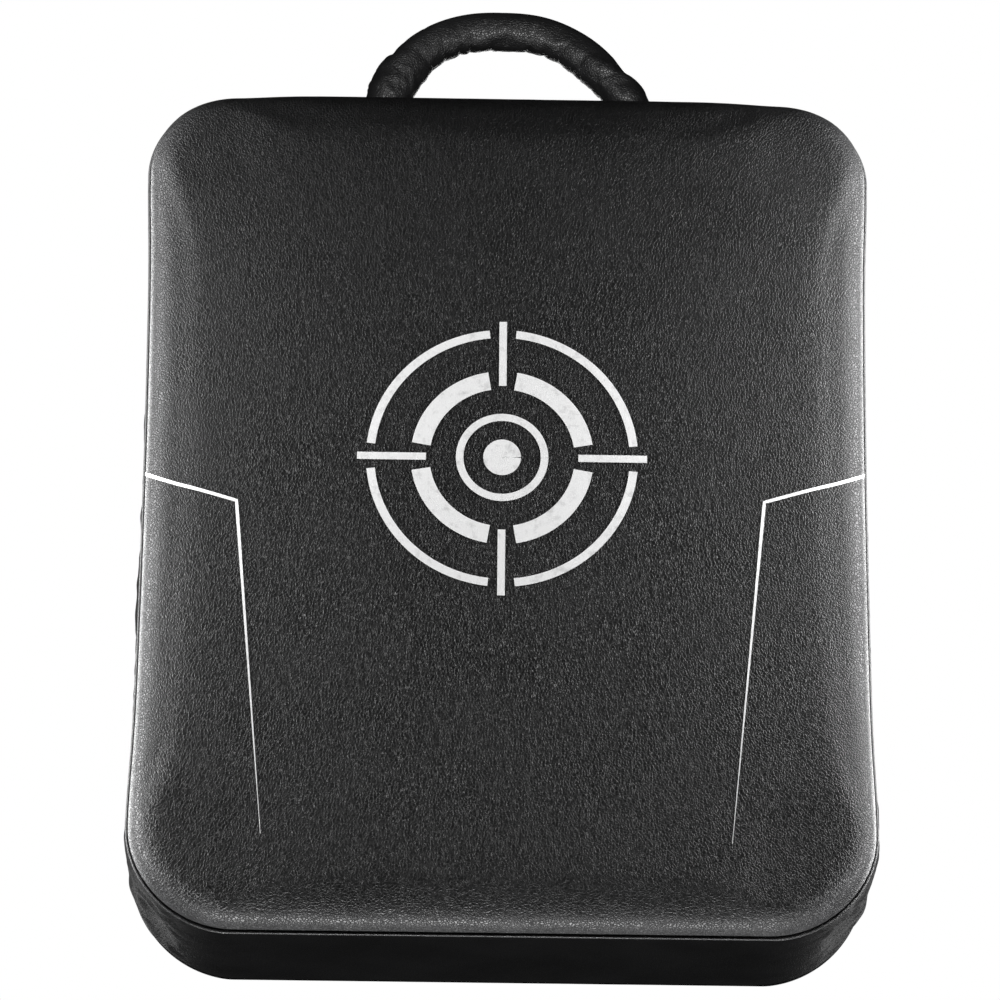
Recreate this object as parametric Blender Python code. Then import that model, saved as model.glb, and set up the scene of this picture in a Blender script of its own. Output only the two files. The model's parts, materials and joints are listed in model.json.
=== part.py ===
"""Kick shield: a padded slab with a faux-leather cover, a carry handle on top, and hand grips and
forearm loops on the back.

Metres, +Z up. The shield stands on its lower gusset at z = 0, its strike face looks towards -Y, and
the origin is the centre of the flat bottom. Every piece is one closed solid with its own name.
"""

import math

import bmesh
import bpy
from mathutils import Vector

# Shield body
WIDTH = 0.500
HEIGHT = 0.605
DEPTH = 0.170
TOP_CORNER_R = 0.060  # of the outline, seen from the front
BOTTOM_CORNER_R = 0.072
CORNER_STEPS = 7  # straight pieces that each corner is made of
FRONT_EDGE_R = 0.022  # how the strike face rolls back to its seam
BACK_EDGE_R = 0.012
SKIN = 0.0016  # faux leather with its cloth backing
GAP = 0.0003  # left between pieces that touch
SEAM_LIP = 0.0015  # straight hem between a panel's rolled edge and its piping

FRONT_Y = -DEPTH / 2
BACK_Y = DEPTH / 2
HALF_W = WIDTH / 2

# Piping in the two seams
PIPING_R = 0.0018
PIPING_INSET = PIPING_R  # its centre, inside the outline, so that it never stands below the base
FRONT_PIPING_Y = FRONT_Y + FRONT_EDGE_R + SEAM_LIP + GAP + PIPING_R
BACK_PIPING_Y = BACK_Y - BACK_EDGE_R - SEAM_LIP - GAP - PIPING_R

# Gusset strips
GUSSET_Y0 = FRONT_PIPING_Y + PIPING_R + GAP
GUSSET_Y1 = BACK_PIPING_Y - PIPING_R - GAP
GUSSET_JOIN_Z = 0.330  # where the upper strip meets the lower one, on both sides
TOP_CROWN = 0.010  # the top strip is drawn up under the handle
TOP_CROWN_X = 0.120  # half the width of that raised part
LOWER_SIDE_CROWN = 0.004
UPPER_SIDE_CROWN = 0.0015

# Foam
FOAM_INSET = 0.0040  # clears the piping and the eyelet washers
STRIKE_FOAM = 0.040
BACKING_FOAM = 0.030
FOAM_BACK_Y = BACK_Y - 0.0050  # leaves room for the anchor strips and the zip slider

# Zip along the bottom of the back panel
ZIP_Z = 0.070
ZIP_HALF_LENGTH = 0.195
ZIP_SLOT_HALF_H = 0.0055
TAPE_T = 0.0008
TAPE_W = 0.0150
ROW_SPLIT = 0.0006  # half of the gap the slider's neck runs in
ROW_W = 0.0026
ROW_T = 0.0020
SLIDER_LENGTH = 0.0130
PLATE_T = 0.0012

# Padded tube shared by the carry handle and the hand grips
TUBE_R = 0.0130
TUBE_FOOT_R = 0.0052  # where the tube narrows to its sewn foot, round so that it turns in its tab
TUBE_TAPER_H = 0.0200  # height above the hinge line at which the tube is full size
TUBE_AXIS_H = 0.0060  # hinge line above the surface the handle is sewn to
TUBE_SKIN = 0.0014
WEBBING_W = 0.0052
WEBBING_T = 0.0016
FOOT_LENGTH = 0.0150
FOOT_BEND_R = 0.0100

# Carry handle
HANDLE_Y = -0.020
HANDLE_HALF_SPAN = 0.087
HANDLE_CROWN = 0.057
HANDLE_AXIS_Z = HEIGHT + TOP_CROWN + TUBE_AXIS_H

# Hand grips on the back
GRIP_X = 0.060
GRIP_Z = 0.330
GRIP_HALF_SPAN = 0.072
GRIP_CROWN = 0.050
GRIP_AXIS_Y = BACK_Y + TUBE_AXIS_H

# Tabs that the tube feet are sewn under
TAB_WIDTH = 0.030
TAB_HEIGHT = 0.0125
TAB_BOTTOM_GAP = 0.0008

# Forearm loops on the back
LOOP_X = 0.170
LOOP_Z = 0.330
LOOP_HALF_SPAN = 0.150
LOOP_RISE = 0.068
LOOP_WIDTH = 0.075
LOOP_PAD_T = 0.0080
LOOP_FACE_T = 0.0014
LOOP_END_L = 0.026  # flat end sewn down under the patch
LOOP_END_PAD_T = 0.0008  # the pad thins out to this at the sewn ends
LOOP_TAPER_L = 0.035
LOOP_PATCH_L = 0.036
LOOP_PATCH_W = 0.083
LOOP_PATCH_T = 0.0016

# Webbing strips inside the back panel and under the top gusset
ANCHOR_T = 0.0018
ANCHOR_W = 0.045

# Vent eyelets in the side gussets
EYELET_Y = 0.030
EYELET_ZS = (0.455, 0.495)
EYELET_BORE_R = 0.0035
EYELET_BARREL_R = 0.0045
EYELET_FLANGE_R = 0.0080
EYELET_FLANGE_T = 0.0008
WASHER_T = 0.0006


# ---------------------------------------------------------------- helpers


def clear_scene():
    for thing in list(bpy.data.objects):
        bpy.data.objects.remove(thing, do_unlink=True)


def make_material(name, colour, roughness, metallic=0.0):
    mat = bpy.data.materials.new(name)
    mat.use_nodes = True
    shader = mat.node_tree.nodes["Principled BSDF"]
    shader.inputs["Base Color"].default_value = (*colour, 1.0)
    shader.inputs["Roughness"].default_value = roughness
    shader.inputs["Metallic"].default_value = metallic
    return mat


def add_piece(name, mat, points, faces, smooth=False, origin=(0.0, 0.0, 0.0)):
    """One closed piece from world points, its object's origin put at `origin`."""
    here = Vector(origin)
    mesh = bpy.data.meshes.new(name)
    mesh.from_pydata([Vector(p) - here for p in points], [], faces)
    grown = bmesh.new()
    grown.from_mesh(mesh)
    bmesh.ops.recalc_face_normals(grown, faces=grown.faces)
    grown.to_mesh(mesh)
    grown.free()
    mesh.materials.append(mat)
    for face in mesh.polygons:
        face.use_smooth = smooth
    piece = bpy.data.objects.new(name, mesh)
    piece.location = here
    bpy.context.scene.collection.objects.link(piece)
    return piece


def loft(name, mat, loops, closed=False, smooth=False, origin=(0.0, 0.0, 0.0)):
    """A skin over equal loops of points: a closed ring of loops, or capped at both ends."""
    count = len(loops[0])
    points = [p for loop in loops for p in loop]
    faces = []
    last = len(loops) if closed else len(loops) - 1
    for i in range(last):
        near, far = i * count, ((i + 1) % len(loops)) * count
        for k in range(count):
            nxt = (k + 1) % count
            faces.append((near + k, near + nxt, far + nxt, far + k))
    if not closed:
        faces.append(tuple(range(count)))
        faces.append(tuple(range(points_start(loops), len(points))))
    return add_piece(name, mat, points, faces, smooth, origin)


def points_start(loops):
    """Where the last loop's points begin in a flat list of all of them."""
    return (len(loops) - 1) * len(loops[0])


def arc(centre, radius, start_deg, end_deg, steps):
    """Points of a circular arc, both ends included."""
    points = []
    for i in range(steps + 1):
        angle = math.radians(start_deg + (end_deg - start_deg) * i / steps)
        points.append((centre[0] + radius * math.cos(angle), centre[1] + radius * math.sin(angle)))
    return points


def outline(inset):
    """The shield's rounded-rectangle outline in (x, z), moved inwards by `inset`."""
    top_x, top_z = HALF_W - TOP_CORNER_R, HEIGHT - TOP_CORNER_R
    low_x, low_z = HALF_W - BOTTOM_CORNER_R, BOTTOM_CORNER_R
    corners = (
        ((top_x, top_z), TOP_CORNER_R, 0),
        ((-top_x, top_z), TOP_CORNER_R, 90),
        ((-low_x, low_z), BOTTOM_CORNER_R, 180),
        ((low_x, low_z), BOTTOM_CORNER_R, 270),
    )
    points = []
    for centre, radius, start in corners:
        points += arc(centre, radius - inset, start, start + 90, CORNER_STEPS)
    return points


def outline_loop(inset, y):
    return [(x, y, z) for x, z in outline(inset)]


def box_piece(name, mat, low, high, origin=(0.0, 0.0, 0.0)):
    x0, y0, z0 = low
    x1, y1, z1 = high
    near = [(x0, y0, z0), (x1, y0, z0), (x1, y0, z1), (x0, y0, z1)]
    far = [(x0, y1, z0), (x1, y1, z0), (x1, y1, z1), (x0, y1, z1)]
    return loft(name, mat, [near, far], origin=origin)


def cut(piece, cutter):
    """Takes the cutter's shape out of the piece and drops the cutter."""
    step = piece.modifiers.new("cut", "BOOLEAN")
    step.operation = "DIFFERENCE"
    step.solver = "EXACT"
    step.object = cutter
    bpy.context.view_layer.update()
    graph = bpy.context.evaluated_depsgraph_get()
    result = bpy.data.meshes.new_from_object(piece.evaluated_get(graph))
    piece.modifiers.clear()
    piece.data = result
    bpy.data.objects.remove(cutter, do_unlink=True)


# ---------------------------------------------------------------- cover


def panel_loops(face_y, towards_seam, edge_r):
    """Outer then inner loops of a panel tray. towards_seam is +1 for the front panel, whose edge
    rolls towards +Y, and -1 for the back panel."""
    steps = 4
    outer, inner = [], []
    for i in range(steps + 1):
        angle = math.radians(90 * i / steps)
        side, back = 1 - math.sin(angle), 1 - math.cos(angle)
        outer.append(outline_loop(edge_r * side, face_y + towards_seam * edge_r * back))
        small = edge_r - SKIN
        inner.append(
            outline_loop(SKIN + small * side, face_y + towards_seam * (SKIN + small * back))
        )
    seam_y = face_y + towards_seam * (edge_r + SEAM_LIP)
    return outer + [outline_loop(0.0, seam_y), outline_loop(SKIN, seam_y)] + inner[::-1]


def front_panel(mats):
    return loft("front_panel", mats["cover"], panel_loops(FRONT_Y, 1, FRONT_EDGE_R), smooth=True)


def back_panel(mats):
    panel = loft("back_panel", mats["cover"], panel_loops(BACK_Y, -1, BACK_EDGE_R), smooth=True)
    slot = box_piece(
        "zip_slot_cutter",
        mats["cover"],
        (-ZIP_HALF_LENGTH, BACK_Y - 0.006, ZIP_Z - ZIP_SLOT_HALF_H),
        (ZIP_HALF_LENGTH, BACK_Y + 0.006, ZIP_Z + ZIP_SLOT_HALF_H),
    )
    cut(panel, slot)
    return panel


def piping(name, mat, y):
    sides = 8
    loops = []
    for i in range(sides):
        angle = 2 * math.pi * (i + 0.5) / sides
        inset = PIPING_INSET - PIPING_R * math.cos(angle)
        loops.append(outline_loop(inset, y + PIPING_R * math.sin(angle)))
    return loft(name, mat, loops, closed=True, smooth=True)


def smooth_step(value, low, high):
    share = min(max((value - low) / (high - low), 0.0), 1.0)
    return share * share * (3 - 2 * share)


def crown_at(x, z):
    """How far the gusset bulges outwards at its middle, at a place on the outline."""
    if z > HEIGHT - TOP_CORNER_R / 2:
        share = 1 - smooth_step(abs(x), TOP_CROWN_X, HALF_W - TOP_CORNER_R)
        return UPPER_SIDE_CROWN + (TOP_CROWN - UPPER_SIDE_CROWN) * share
    if z < BOTTOM_CORNER_R:
        return LOWER_SIDE_CROWN * smooth_step(z, 0.0, BOTTOM_CORNER_R)
    lower = 1 - smooth_step(z, GUSSET_JOIN_Z - 0.10, GUSSET_JOIN_Z + 0.05)
    return UPPER_SIDE_CROWN + (LOWER_SIDE_CROWN - UPPER_SIDE_CROWN) * lower


def gusset_path(upper):
    """(x, z, nx, nz) along one gusset strip, the normal pointing outwards."""
    path = []
    if upper:
        radius, turn, up = TOP_CORNER_R, 90, 1.0
        end_z, corner_z, run_z = GUSSET_JOIN_Z + GAP, HEIGHT - radius, HEIGHT
    else:
        radius, turn, up = BOTTOM_CORNER_R, -90, -1.0
        end_z, corner_z, run_z = GUSSET_JOIN_Z, radius, 0.0
    right = HALF_W - radius
    side_steps, run_steps = 3, 12
    for i in range(side_steps):
        path.append((HALF_W, end_z + (corner_z - end_z) * i / side_steps, 1.0, 0.0))
    for x, z in arc((right, corner_z), radius, 0, turn, CORNER_STEPS):
        path.append((x, z, (x - right) / radius, (z - corner_z) / radius))
    for i in range(1, run_steps):
        path.append((right - 2 * right * i / run_steps, run_z, 0.0, up))
    mirrored = [(-x, z, -nx, nz) for x, z, nx, nz in path[: side_steps + CORNER_STEPS + 1]]
    return path + mirrored[::-1]


def gusset(name, mat, upper):
    across = 8
    loops = []
    for x, z, nx, nz in gusset_path(upper):
        crown = crown_at(x, z)
        outer, inner = [], []
        for k in range(across + 1):
            share = 2 * k / across - 1
            y = GUSSET_Y0 + (GUSSET_Y1 - GUSSET_Y0) * k / across
            bulge = crown * (1 - share**4)
            outer.append((x + nx * bulge, y, z + nz * bulge))
            inner.append((x + nx * (bulge - SKIN), y, z + nz * (bulge - SKIN)))
        loops.append(outer + inner[::-1])
    return loft(name, mat, loops, smooth=True)


def eyelet_places():
    return [(side, z) for side in (-1, 1) for z in EYELET_ZS]


def gusset_surface_x(z):
    """Distance from the middle plane to the gusset's outer face at an eyelet."""
    share = 2 * (EYELET_Y - GUSSET_Y0) / (GUSSET_Y1 - GUSSET_Y0) - 1
    return HALF_W + crown_at(HALF_W, z) * (1 - share**4)


def disc_loop(x, radius, y, z, steps=12):
    points = arc((y, z), radius, 0, 360 - 360 / steps, steps - 1)
    return [(x, py, pz) for py, pz in points]


def gussets(mats):
    upper = gusset("gusset_upper", mats["cover"], True)
    gusset("gusset_lower", mats["cover"], False)
    for side, z in eyelet_places():
        hole = [
            disc_loop(side * (HALF_W - 0.01), EYELET_BARREL_R + GAP, EYELET_Y, z),
            disc_loop(side * (HALF_W + 0.02), EYELET_BARREL_R + GAP, EYELET_Y, z),
        ]
        cut(upper, loft("eyelet_cutter", mats["cover"], hole))


def eyelets(mats):
    """Flanged vent eyelets outside, each with a ring washer on the inside of the gusset."""
    for number, (side, z) in enumerate(eyelet_places(), 1):
        face = gusset_surface_x(z)
        low, high = face + GAP, face + GAP + EYELET_FLANGE_T
        end = HALF_W - FOAM_INSET + GAP
        section = (
            (end, EYELET_BORE_R),
            (high, EYELET_BORE_R),
            (high, EYELET_FLANGE_R * 0.85),
            (low, EYELET_FLANGE_R),
            (low, EYELET_BARREL_R),
            (end, EYELET_BARREL_R),
        )
        loops = [disc_loop(side * x, r, EYELET_Y, z) for x, r in section]
        loft(f"vent_eyelet_{number}", mats["metal"], loops, closed=True, smooth=True)
        outer_x = face - SKIN - 2 * GAP
        ring = (
            (outer_x, EYELET_BARREL_R + GAP),
            (outer_x, EYELET_FLANGE_R),
            (outer_x - WASHER_T, EYELET_FLANGE_R),
            (outer_x - WASHER_T, EYELET_BARREL_R + GAP),
        )
        loops = [disc_loop(side * x, r, EYELET_Y, z) for x, r in ring]
        loft(f"vent_washer_{number}", mats["metal"], loops, closed=True, smooth=True)


# ---------------------------------------------------------------- foam


def foams(mats):
    rim_r = FRONT_EDGE_R - SKIN - GAP
    face_y = FRONT_Y + SKIN + GAP
    loops = []
    for i in range(4):
        angle = math.radians(90 * i / 4)
        inset = SKIN + GAP + rim_r * (1 - math.sin(angle))
        loops.append(outline_loop(max(inset, FOAM_INSET), face_y + rim_r * (1 - math.cos(angle))))
    loops.append(outline_loop(FOAM_INSET, face_y + rim_r))
    loops.append(outline_loop(FOAM_INSET, face_y + STRIKE_FOAM))
    loft("strike_foam", mats["dense_foam"], loops)
    core_y0 = face_y + STRIKE_FOAM + GAP
    core_y1 = FOAM_BACK_Y - BACKING_FOAM - GAP
    core = [outline_loop(FOAM_INSET, core_y0), outline_loop(FOAM_INSET, core_y1)]
    loft("core_foam", mats["soft_foam"], core)
    backing = [
        outline_loop(FOAM_INSET, FOAM_BACK_Y - BACKING_FOAM),
        outline_loop(FOAM_INSET, BACK_Y - BACK_EDGE_R),
        outline_loop(BACK_EDGE_R * 0.75, FOAM_BACK_Y),
    ]
    loft("backing_foam", mats["dense_foam"], backing)


# ---------------------------------------------------------------- zip


def zip_fastener(mats):
    tape_y1 = BACK_Y - SKIN - GAP
    tape_y0 = tape_y1 - TAPE_T
    row_y0 = tape_y1 + GAP
    row_y1 = row_y0 + ROW_T
    row_end = ZIP_HALF_LENGTH - 0.008
    for side, where in ((1, "upper"), (-1, "lower")):
        near, far = sorted((ZIP_Z + side * ROW_SPLIT, ZIP_Z + side * TAPE_W))
        tape_end = ZIP_HALF_LENGTH + 0.010
        box_piece(
            f"zip_tape_{where}", mats["webbing"], (-tape_end, tape_y0, near), (tape_end, tape_y1, far)
        )
        near, far = sorted((ZIP_Z + side * ROW_SPLIT, ZIP_Z + side * (ROW_SPLIT + ROW_W)))
        box_piece(
            f"zip_teeth_{where}", mats["plastic"], (-row_end, row_y0, near), (row_end, row_y1, far)
        )
    stop_half_h = ROW_SPLIT + ROW_W + 0.0003
    for side, where in ((-1, "left"), (1, "right")):
        near, far = sorted((side * (row_end + GAP), side * (row_end + 0.0035)))
        box_piece(
            f"zip_stop_{where}",
            mats["metal"],
            (near, row_y0, ZIP_Z - stop_half_h),
            (far, row_y1 + 0.0003, ZIP_Z + stop_half_h),
        )
    slider_x = row_end - SLIDER_LENGTH / 2 - 0.001
    zip_slider(mats, slider_x, tape_y0, row_y1)


def zip_slider(mats, x, tape_y0, row_y1):
    """A top and a bottom plate joined by a thin neck that runs between the rows of teeth, with a
    bridge on top for the pull; all cut from one profile in the (x, y) plane and its mirror."""
    plate_half_h = ROW_SPLIT + ROW_W + 0.0016
    neck_half_t = ROW_SPLIT - GAP
    half = SLIDER_LENGTH / 2
    top_y0, top_y1 = row_y1 + GAP, row_y1 + GAP + PLATE_T
    low_y1 = tape_y0 - GAP
    low_y0 = low_y1 - PLATE_T
    bridge_half, bridge_rise, bridge_t = 0.0042, 0.0034, 0.0011
    neck_x = (half - 0.004, half - 0.001)
    middle = (
        (-half, top_y0),
        (neck_x[0], top_y0),
        (neck_x[0], low_y1),
        (-half, low_y1),
        (-half, low_y0),
        (half, low_y0),
        (half, low_y1),
        (neck_x[1], low_y1),
        (neck_x[1], top_y0),
        (half, top_y0),
        (half, top_y1),
        (bridge_half, top_y1),
        (bridge_half, top_y1 + bridge_rise),
        (-bridge_half, top_y1 + bridge_rise),
        (-bridge_half, top_y1),
        (-half, top_y1),
    )
    slider = prism(
        "zip_slider", mats["metal"], [(x + px, py) for px, py in middle], neck_half_t, (x, top_y1, ZIP_Z)
    )
    plates = (
        ((-half, half), (top_y0, top_y1), plate_half_h),
        ((-half, half), (low_y0, low_y1), plate_half_h),
        ((-bridge_half, bridge_half), (top_y1 - 0.0003, top_y1 + bridge_rise), 0.0009),
    )
    for (x0, x1), (y0, y1), half_h in plates:
        lump = box_piece(
            "slider_lump", mats["metal"], (x + x0, y0, ZIP_Z - half_h), (x + x1, y1, ZIP_Z + half_h)
        )
        join(slider, lump)
    eye = box_piece(
        "slider_eye_cutter",
        mats["metal"],
        (x - bridge_half + bridge_t, top_y1, ZIP_Z - 0.004),
        (x + bridge_half - bridge_t, top_y1 + bridge_rise - bridge_t, ZIP_Z + 0.004),
    )
    cut(slider, eye)
    zip_pull(mats, x, top_y1)


def prism(name, mat, profile, half_h, origin):
    """A flat (x, y) profile given a thickness about the zip's centre line."""
    low = [(px, py, ZIP_Z - half_h) for px, py in profile]
    high = [(px, py, ZIP_Z + half_h) for px, py in profile]
    return loft(name, mat, [low, high], origin=origin)


def join(piece, lump):
    """Adds the lump's shape to the piece and drops the lump."""
    step = piece.modifiers.new("join", "BOOLEAN")
    step.operation = "UNION"
    step.solver = "EXACT"
    step.object = lump
    bpy.context.view_layer.update()
    graph = bpy.context.evaluated_depsgraph_get()
    result = bpy.data.meshes.new_from_object(piece.evaluated_get(graph))
    piece.modifiers.clear()
    piece.data = result
    bpy.data.objects.remove(lump, do_unlink=True)


def zip_pull(mats, x, plate_y):
    """A tab with a window, whose cross bar lies under the slider's bridge. It turns about that bar."""
    bar_r = 0.0007
    axis = (x, plate_y + 0.0012, ZIP_Z)
    window_half, arm_w, half_t = 0.0016, 0.0012, bar_r
    window_length, tab_length, tab_half_h = 0.0058, 0.0290, 0.0042
    y0, y1 = axis[1] - half_t, axis[1] + half_t
    neck = window_half + arm_w
    ring = [
        (x + bar_r, -neck),
        (x + bar_r, neck),
        (x - window_length, neck),
        (x - window_length - 0.004, tab_half_h),
        (x - tab_length + 0.003, tab_half_h),
        (x - tab_length, tab_half_h * 0.4),
        (x - tab_length, -tab_half_h * 0.4),
        (x - tab_length + 0.003, -tab_half_h),
        (x - window_length - 0.004, -tab_half_h),
        (x - window_length, -neck),
    ]
    low = [(px, y0, ZIP_Z + pz) for px, pz in ring]
    high = [(px, y1, ZIP_Z + pz) for px, pz in ring]
    pull = loft("zip_pull", mats["rubber"], [low, high], origin=axis)
    window = box_piece(
        "pull_window_cutter",
        mats["rubber"],
        (x - window_length, y0 - 0.002, ZIP_Z - window_half),
        (x - bar_r, y1 + 0.002, ZIP_Z + window_half),
    )
    cut(pull, window)


# ---------------------------------------------------------------- padded tubes


def tube_path(half_span, crown, steps=16):
    """(along, out) stations of a handle's centre line, from one sewn foot to the other. The arch is
    part of an ellipse, and a small bend at each end turns it outwards into the foot."""
    spring_h = FOOT_BEND_R * 1.15  # where the bend hands over to the arch
    sweep = math.degrees(math.asin(spring_h / crown))
    arch = []
    for i in range(steps + 1):
        angle = math.radians(180 - sweep - (180 - 2 * sweep) * i / steps)
        arch.append((half_span * math.cos(angle), crown * math.sin(angle)))
    start = arch[0][0]
    bend = arc((start - FOOT_BEND_R, FOOT_BEND_R), FOOT_BEND_R, -90, 0, 3)[:-1]
    foot = [(start - FOOT_BEND_R - FOOT_LENGTH, 0.0)]
    left = foot + bend
    right = [(-a, o) for a, o in left[::-1]]
    return left + arch + right


def tube_radius(out):
    """The tube grows from its foot to full size over the first stretch above the hinge line."""
    return TUBE_FOOT_R + (TUBE_R - TUBE_FOOT_R) * smooth_step(out, 0.0, TUBE_TAPER_H)


def tube_frames(path):
    """Each station with its unit tangent's normal in the plane of the arch."""
    frames = []
    for i, (along, out) in enumerate(path):
        before, after = path[max(i - 1, 0)], path[min(i + 1, len(path) - 1)]
        da, do = after[0] - before[0], after[1] - before[1]
        size = math.hypot(da, do)
        frames.append((along, out, -do / size, da / size))
    return frames


def tube_loops(path, place, section, sides=10):
    """Loops round the path. section(out) gives the radii in and across the plane of the arch."""
    loops = []
    for along, out, na, no in tube_frames(path):
        in_plane, across = section(out)
        loop = []
        for k in range(sides):
            angle = 2 * math.pi * (k + 0.5) / sides
            reach = in_plane * math.cos(angle)
            loop.append(place(along + na * reach, out + no * reach, across * math.sin(angle)))
        loops.append(loop)
    return loops


def hollow(outer, inner):
    """A tube with open ends: the outer loops one way and the inner ones back."""
    return outer + inner[::-1]


def padded_handle(name, mats, half_span, crown, place, origin):
    """Cover, foam roll and webbing of one handle, nested with a small gap."""
    path = tube_path(half_span, crown)
    web_in, web_across = WEBBING_T / 2, WEBBING_W / 2

    def shrunk(by):
        return lambda out: (tube_radius(out) - by, tube_radius(out) - by)

    def bore(out):
        return web_in + GAP * 2, web_across + GAP * 2

    outer = tube_loops(path, place, shrunk(0.0))
    inner = tube_loops(path, place, shrunk(TUBE_SKIN))
    loft(f"{name}_cover", mats["cover"], hollow(outer, inner), closed=True, smooth=True, origin=origin)
    roll = tube_loops(path, place, shrunk(TUBE_SKIN + GAP))
    hole = tube_loops(path, place, bore)
    loft(f"{name}_core", mats["soft_foam"], hollow(roll, hole), closed=True, smooth=True, origin=origin)
    web = tube_loops(path, place, lambda out: (web_in, web_across))
    loft(f"{name}_webbing", mats["webbing"], web, origin=origin)


def foot_span(half_span, crown):
    """Where a foot starts and ends along the hinge line."""
    path = tube_path(half_span, crown)
    return -path[1][0], -path[0][0]


def sewn_tab(name, mat, place, along0, along1):
    """A low mound with a bore for the tube's foot, open towards the middle of the handle. `place`
    takes (along, out, across) with out measured from the hinge line."""
    low = -TUBE_AXIS_H + TAB_BOTTOM_GAP
    high = low + TAB_HEIGHT
    half = TAB_WIDTH / 2
    bore_r = TUBE_FOOT_R + 2 * GAP
    shape = (
        (low, half),
        (low + TAB_HEIGHT * 0.30, half),
        (low + TAB_HEIGHT * 0.75, half * 0.78),
        (high, half * 0.45),
        (high, -half * 0.45),
        (low + TAB_HEIGHT * 0.75, -half * 0.78),
        (low + TAB_HEIGHT * 0.30, -half),
        (low, -half),
    )
    mound = loft(
        name,
        mat,
        [[place(along, out, across) for out, across in shape] for along in (along0, along1)],
    )
    steps = 10
    rings = []
    for along in (along0 - 0.01 * math.copysign(1, along1), along1 - 0.004 * math.copysign(1, along1)):
        ring = []
        for k in range(steps):
            angle = 2 * math.pi * (k + 0.5) / steps
            ring.append(place(along, bore_r * math.cos(angle), bore_r * math.sin(angle)))
        rings.append(ring)
    cut(mound, loft("tab_bore_cutter", mat, rings))


def carry_handle(mats):
    def place(along, out, across):
        return (along, HANDLE_Y + across, HANDLE_AXIS_Z + out)

    origin = (0.0, HANDLE_Y, HANDLE_AXIS_Z)
    padded_handle("top_handle", mats, HANDLE_HALF_SPAN, HANDLE_CROWN, place, origin)
    start, end = foot_span(HANDLE_HALF_SPAN, HANDLE_CROWN)
    for side, where in ((-1, "left"), (1, "right")):
        sewn_tab(
            f"top_handle_tab_{where}",
            mats["cover"],
            place,
            side * (start + 0.0005),
            side * (end + 0.0005 + 0.005),
        )
    half_l = end + 0.010
    z1 = HEIGHT + TOP_CROWN * 0.55 - SKIN
    box_piece(
        "top_handle_anchor",
        mats["webbing"],
        (-half_l, HANDLE_Y - ANCHOR_W / 2, z1 - ANCHOR_T),
        (half_l, HANDLE_Y + ANCHOR_W / 2, z1),
    )


def hand_grips(mats):
    start, end = foot_span(GRIP_HALF_SPAN, GRIP_CROWN)
    for side, where in ((-1, "left"), (1, "right")):
        x = side * GRIP_X

        def place(along, out, across, x=x):
            return (x + across, GRIP_AXIS_Y + out, GRIP_Z + along)

        origin = (x, GRIP_AXIS_Y, GRIP_Z)
        padded_handle(f"grip_{where}", mats, GRIP_HALF_SPAN, GRIP_CROWN, place, origin)
        for up, level in ((1, "upper"), (-1, "lower")):
            sewn_tab(
                f"grip_{where}_tab_{level}",
                mats["cover"],
                place,
                up * (start + 0.0005),
                up * (end + 0.0005 + 0.005),
            )


# ---------------------------------------------------------------- forearm loops


def loop_centre_line(steps=14):
    """(along, out) of a forearm loop, lying flat at both ends and arched between."""
    line = [(-LOOP_HALF_SPAN - LOOP_END_L, 0.0)]
    for i in range(steps + 1):
        share = i / steps
        along = -LOOP_HALF_SPAN + 2 * LOOP_HALF_SPAN * share
        ease = smooth_step(min(share, 1 - share), -0.08, 0.22)
        line.append((along, LOOP_RISE * ease * math.sin(math.pi * share)))
    line.append((LOOP_HALF_SPAN + LOOP_END_L, 0.0))
    return line


def loop_pad_thickness(along):
    """The forearm pad is full in the arch and thins out towards its sewn ends."""
    full = smooth_step(LOOP_HALF_SPAN - abs(along), 0.0, LOOP_TAPER_L)
    return LOOP_END_PAD_T + (LOOP_PAD_T - LOOP_END_PAD_T) * full


def loop_layers(along):
    """(low, high) of the lining, the pad and the face above the centre line."""
    pad_low = LOOP_FACE_T + GAP
    pad_high = pad_low + loop_pad_thickness(along)
    return {
        "lining": (0.0, LOOP_FACE_T),
        "pad": (pad_low, pad_high),
        "face": (pad_high + GAP, pad_high + GAP + LOOP_FACE_T),
    }


def strap_loops(line, x, base, layer):
    """Loops of one layer of the band, along the forearm loop."""
    loops = []
    half = LOOP_WIDTH / 2
    for along, out, na, no in tube_frames(line):
        low, high = loop_layers(along)[layer]
        near = (base + out + no * low, LOOP_Z + along + na * low)
        far = (base + out + no * high, LOOP_Z + along + na * high)
        loops.append([(x - half, *near), (x + half, *near), (x + half, *far), (x - half, *far)])
    return loops


def forearm_loops(mats):
    line = loop_centre_line()
    base = BACK_Y + GAP
    patch_y = base + loop_layers(LOOP_HALF_SPAN)["face"][1] + GAP
    stuff = {"lining": mats["lining"], "pad": mats["soft_foam"], "face": mats["cover"]}
    for side, where in ((-1, "left"), (1, "right")):
        x = side * LOOP_X
        for layer, mat in stuff.items():
            name = f"forearm_loop_{where}_{layer}"
            loft(name, mat, strap_loops(line, x, base, layer), smooth=True)
        for up, level in ((1, "upper"), (-1, "lower")):
            start = LOOP_HALF_SPAN + 0.002
            near, far = sorted((LOOP_Z + up * start, LOOP_Z + up * (start + LOOP_PATCH_L)))
            box_piece(
                f"forearm_loop_{where}_patch_{level}",
                mats["cover"],
                (x - LOOP_PATCH_W / 2, patch_y, near),
                (x + LOOP_PATCH_W / 2, patch_y + LOOP_PATCH_T, far),
            )


def inner_anchors(mats):
    """Webbing strips inside the back panel that the loops and grips are stitched through."""
    y1 = BACK_Y - SKIN - GAP
    for up, where in ((1, "upper"), (-1, "lower")):
        z = GRIP_Z + up * 0.100
        box_piece(
            f"back_anchor_{where}",
            mats["webbing"],
            (-LOOP_X - LOOP_WIDTH / 2, y1 - ANCHOR_T, z - ANCHOR_W / 2),
            (LOOP_X + LOOP_WIDTH / 2, y1, z + ANCHOR_W / 2),
        )


# ---------------------------------------------------------------- build


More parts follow.
